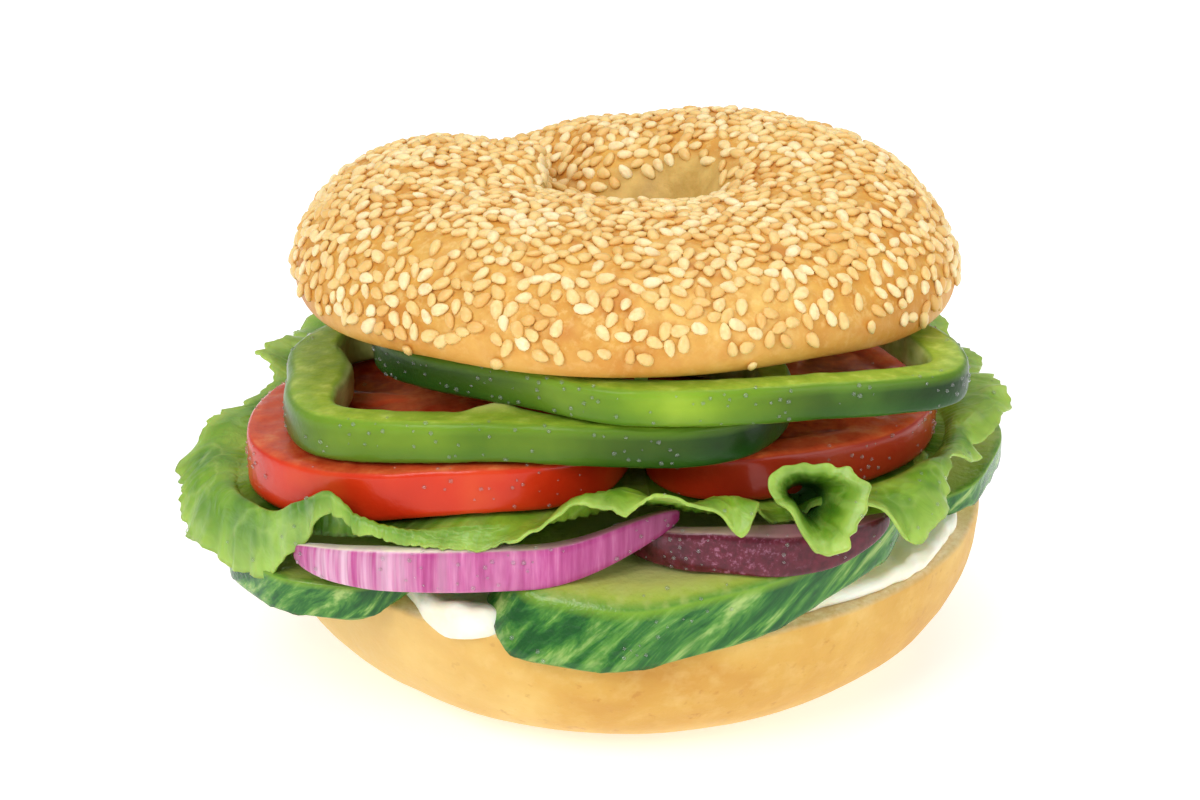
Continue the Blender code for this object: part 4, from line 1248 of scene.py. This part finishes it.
def make_pepper(node, centre, outline, levels, wall, thick_spots):
    low, high = levels
    steps = 44
    section = [math.tau * step / steps for step in range(steps)]

    def rule(turn, roll):
        point = outline(turn)
        tangent = (outline(turn + 0.02) - outline(turn - 0.02)).normalized()
        outwards = Vector((tangent.y, -tangent.x, 0))
        width = wall + sum(extra * bump(turn, at, spread) for at, spread, extra in thick_spots)
        side, rise = signed_power(math.cos(roll), 0.42), signed_power(math.sin(roll), 0.42)
        inset = width * MM * (side - 1) / 2
        inside = smooth_step(-side / 0.9)
        x = centre[0] * MM + point.x + outwards.x * inset
        y = centre[1] * MM + point.y + outwards.y * inset
        lump = 0.0
        if inside > 0:
            lump = 0.5 * ripple((x, y, rise * 3 * MM), 5 * MM, 15) * inside
            x -= outwards.x * lump * MM
            y -= outwards.y * lump * MM
        pith = 0.0
        if node == "pepper_front_left":
            pith = bump(turn, 252, 15) * inside
        z = settle(x, y, low + (high - low) * (rise + 1) / 2)
        z += 0.9 * MM * pith * (rise + 1) / 2 * (1 + 0.5 * ripple((x, y, 0), 2.5 * MM, 16))
        z += 0.16 * MM * ripple((x, y, rise), 3 * MM, 17) * (1 if rise > 0 else -1)
        cut = smooth_step((abs(rise) - 0.9) / 0.08)
        return Vector((x, y, z)), {"cut": cut, "inner": smooth_step((-side - 0.7) / 0.25),
                                   "pith": 0.9 * pith, "dark": painted_skin_shade(node, x),
                                   "level": (rise + 1) / 2}

    return ring_piece(node.replace("pepper", "pepper_ring"), rule, 260, section)


# Putting it together

def dress(piece, material, slot, *nodes):
    piece.data.materials.clear()
    piece.data.materials.append(material)
    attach(piece, "root")
    if nodes:
        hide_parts(*nodes)


top_crust = make_top_crust()
dress(top_crust, crust_finish("seeded_crust_look", True), "seeded_crust", "bagel_top")
dress(make_bottom_crust(), crust_finish("crust_look", False), "crust", "bagel_bottom")

sesame = seed_finish()
seeds = scatter("sesame_seeds", top_crust, "seedy", scatter_tree(seed_unit(), sesame),
                {"Spacing": 1.95 * MM, "Density": 900000.0, "Smallest": 0.8, "Largest": 1.06,
                 "Tilt": 0.32, "Draw": 5})
dress(seeds, sesame, "seeded_crust")

dress(make_cream(), cream_finish(), "cream", "cream_cheese")

cucumbers = make_cucumbers()
tomatoes = make_tomatoes()
onions = {node: make_onion(node, *sizes) for node, sizes in ONIONS.items()}
peppers = {node: make_pepper(node, *sizes) for node, sizes in PEPPERS.items()}
leaf = make_leaf()
for kind, look, made in (("cucumber", cucumber_finish(), cucumbers),
                         ("tomato", tomato_finish(), tomatoes),
                         ("onion", onion_finish(), onions),
                         ("pepper", pepper_finish(), peppers),
                         ("leaf", leaf_finish(), {"lettuce_leaf": leaf})):
    for node, piece in made.items():
        dress(piece, look, kind, node)

water = water_finish()
host = wet_host([(onions["onion_left"], 1.0), (onions["onion_right"], 0.8),
                 (peppers["pepper_front_left"], 0.7), (peppers["pepper_front_right"], 0.9),
                 (tomatoes["tomato_left"], 0.5), (tomatoes["tomato_right"], 0.6),
                 (cucumbers["cucumber_front"], 0.4), (leaf, 0.3)])
drops = scatter("water_drops", host, "wet", scatter_tree(drop_unit(), water),
                {"Spacing": 1.0 * MM, "Density": 300000.0, "Smallest": 0.3, "Largest": 0.85,
                 "Tilt": 0.05, "Draw": 9})
dress(drops, water, "pepper")


# Floor, light and camera

def make_floor():
    bpy.ops.mesh.primitive_plane_add(size=6.0)
    floor = bpy.context.object
    floor.name = "floor"
    look = Finish("floor_look", 0.7, sockets={"Emission Color": (1.0, 1.0, 1.0, 1.0),
                                              "Emission Strength": 0.5})
    floor.data.materials.append(look.finish(colour(232, 233, 236)))


# Name, place, size and power of each lamp; all point at the sandwich's middle
LAMPS = (("key", (-0.55, -0.75, 0.85), 0.7, 7.6), ("fill", (0.8, -0.6, 0.5), 0.8, 3.3),
         ("top", (0.1, 0.3, 1.1), 0.9, 4.6))
LAMP_AIM = Vector((0, 0, 0.04))
SKY_STRENGTH = 0.5
LENS = 124.53
CAMERA_TARGET = Vector((-4.0, 0, 39.1)) * MM
CAMERA_LIFT = math.radians(25.4)
CAMERA_DISTANCE = 0.68


def add_lights():
    for name, place, size, power in LAMPS:
        lamp = bpy.data.lights.new(name, "AREA")
        lamp.shape = "DISK"
        lamp.size = size
        lamp.energy = power
        light = bpy.data.objects.new(name, lamp)
        light.location = place
        light.rotation_euler = (LAMP_AIM - Vector(place)).to_track_quat("-Z", "Y").to_euler()
        bpy.context.scene.collection.objects.link(light)
    world = bpy.data.worlds.new("studio")
    bpy.context.scene.world = world
    world.use_nodes = True
    sky = world.node_tree.nodes["Background"].inputs
    sky["Color"].default_value = (1, 1, 1, 1)
    sky["Strength"].default_value = SKY_STRENGTH
    bpy.context.scene.view_settings.view_transform = "Standard"
    bpy.context.scene.view_settings.exposure = -0.1


def add_camera():
    lens = bpy.data.cameras.new("camera")
    lens.lens = LENS
    lens.sensor_width = 36
    lens.clip_start = 0.05
    lens.clip_end = 20
    camera = bpy.data.objects.new("camera", lens)
    back = Vector((0, -math.cos(CAMERA_LIFT), math.sin(CAMERA_LIFT)))
    camera.location = MIDDLE + CAMERA_TARGET + back * CAMERA_DISTANCE
    camera.rotation_euler = (-back).to_track_quat("-Z", "Y").to_euler()
    bpy.context.scene.collection.objects.link(camera)
    bpy.context.scene.camera = camera


make_floor()
add_lights()
add_camera()
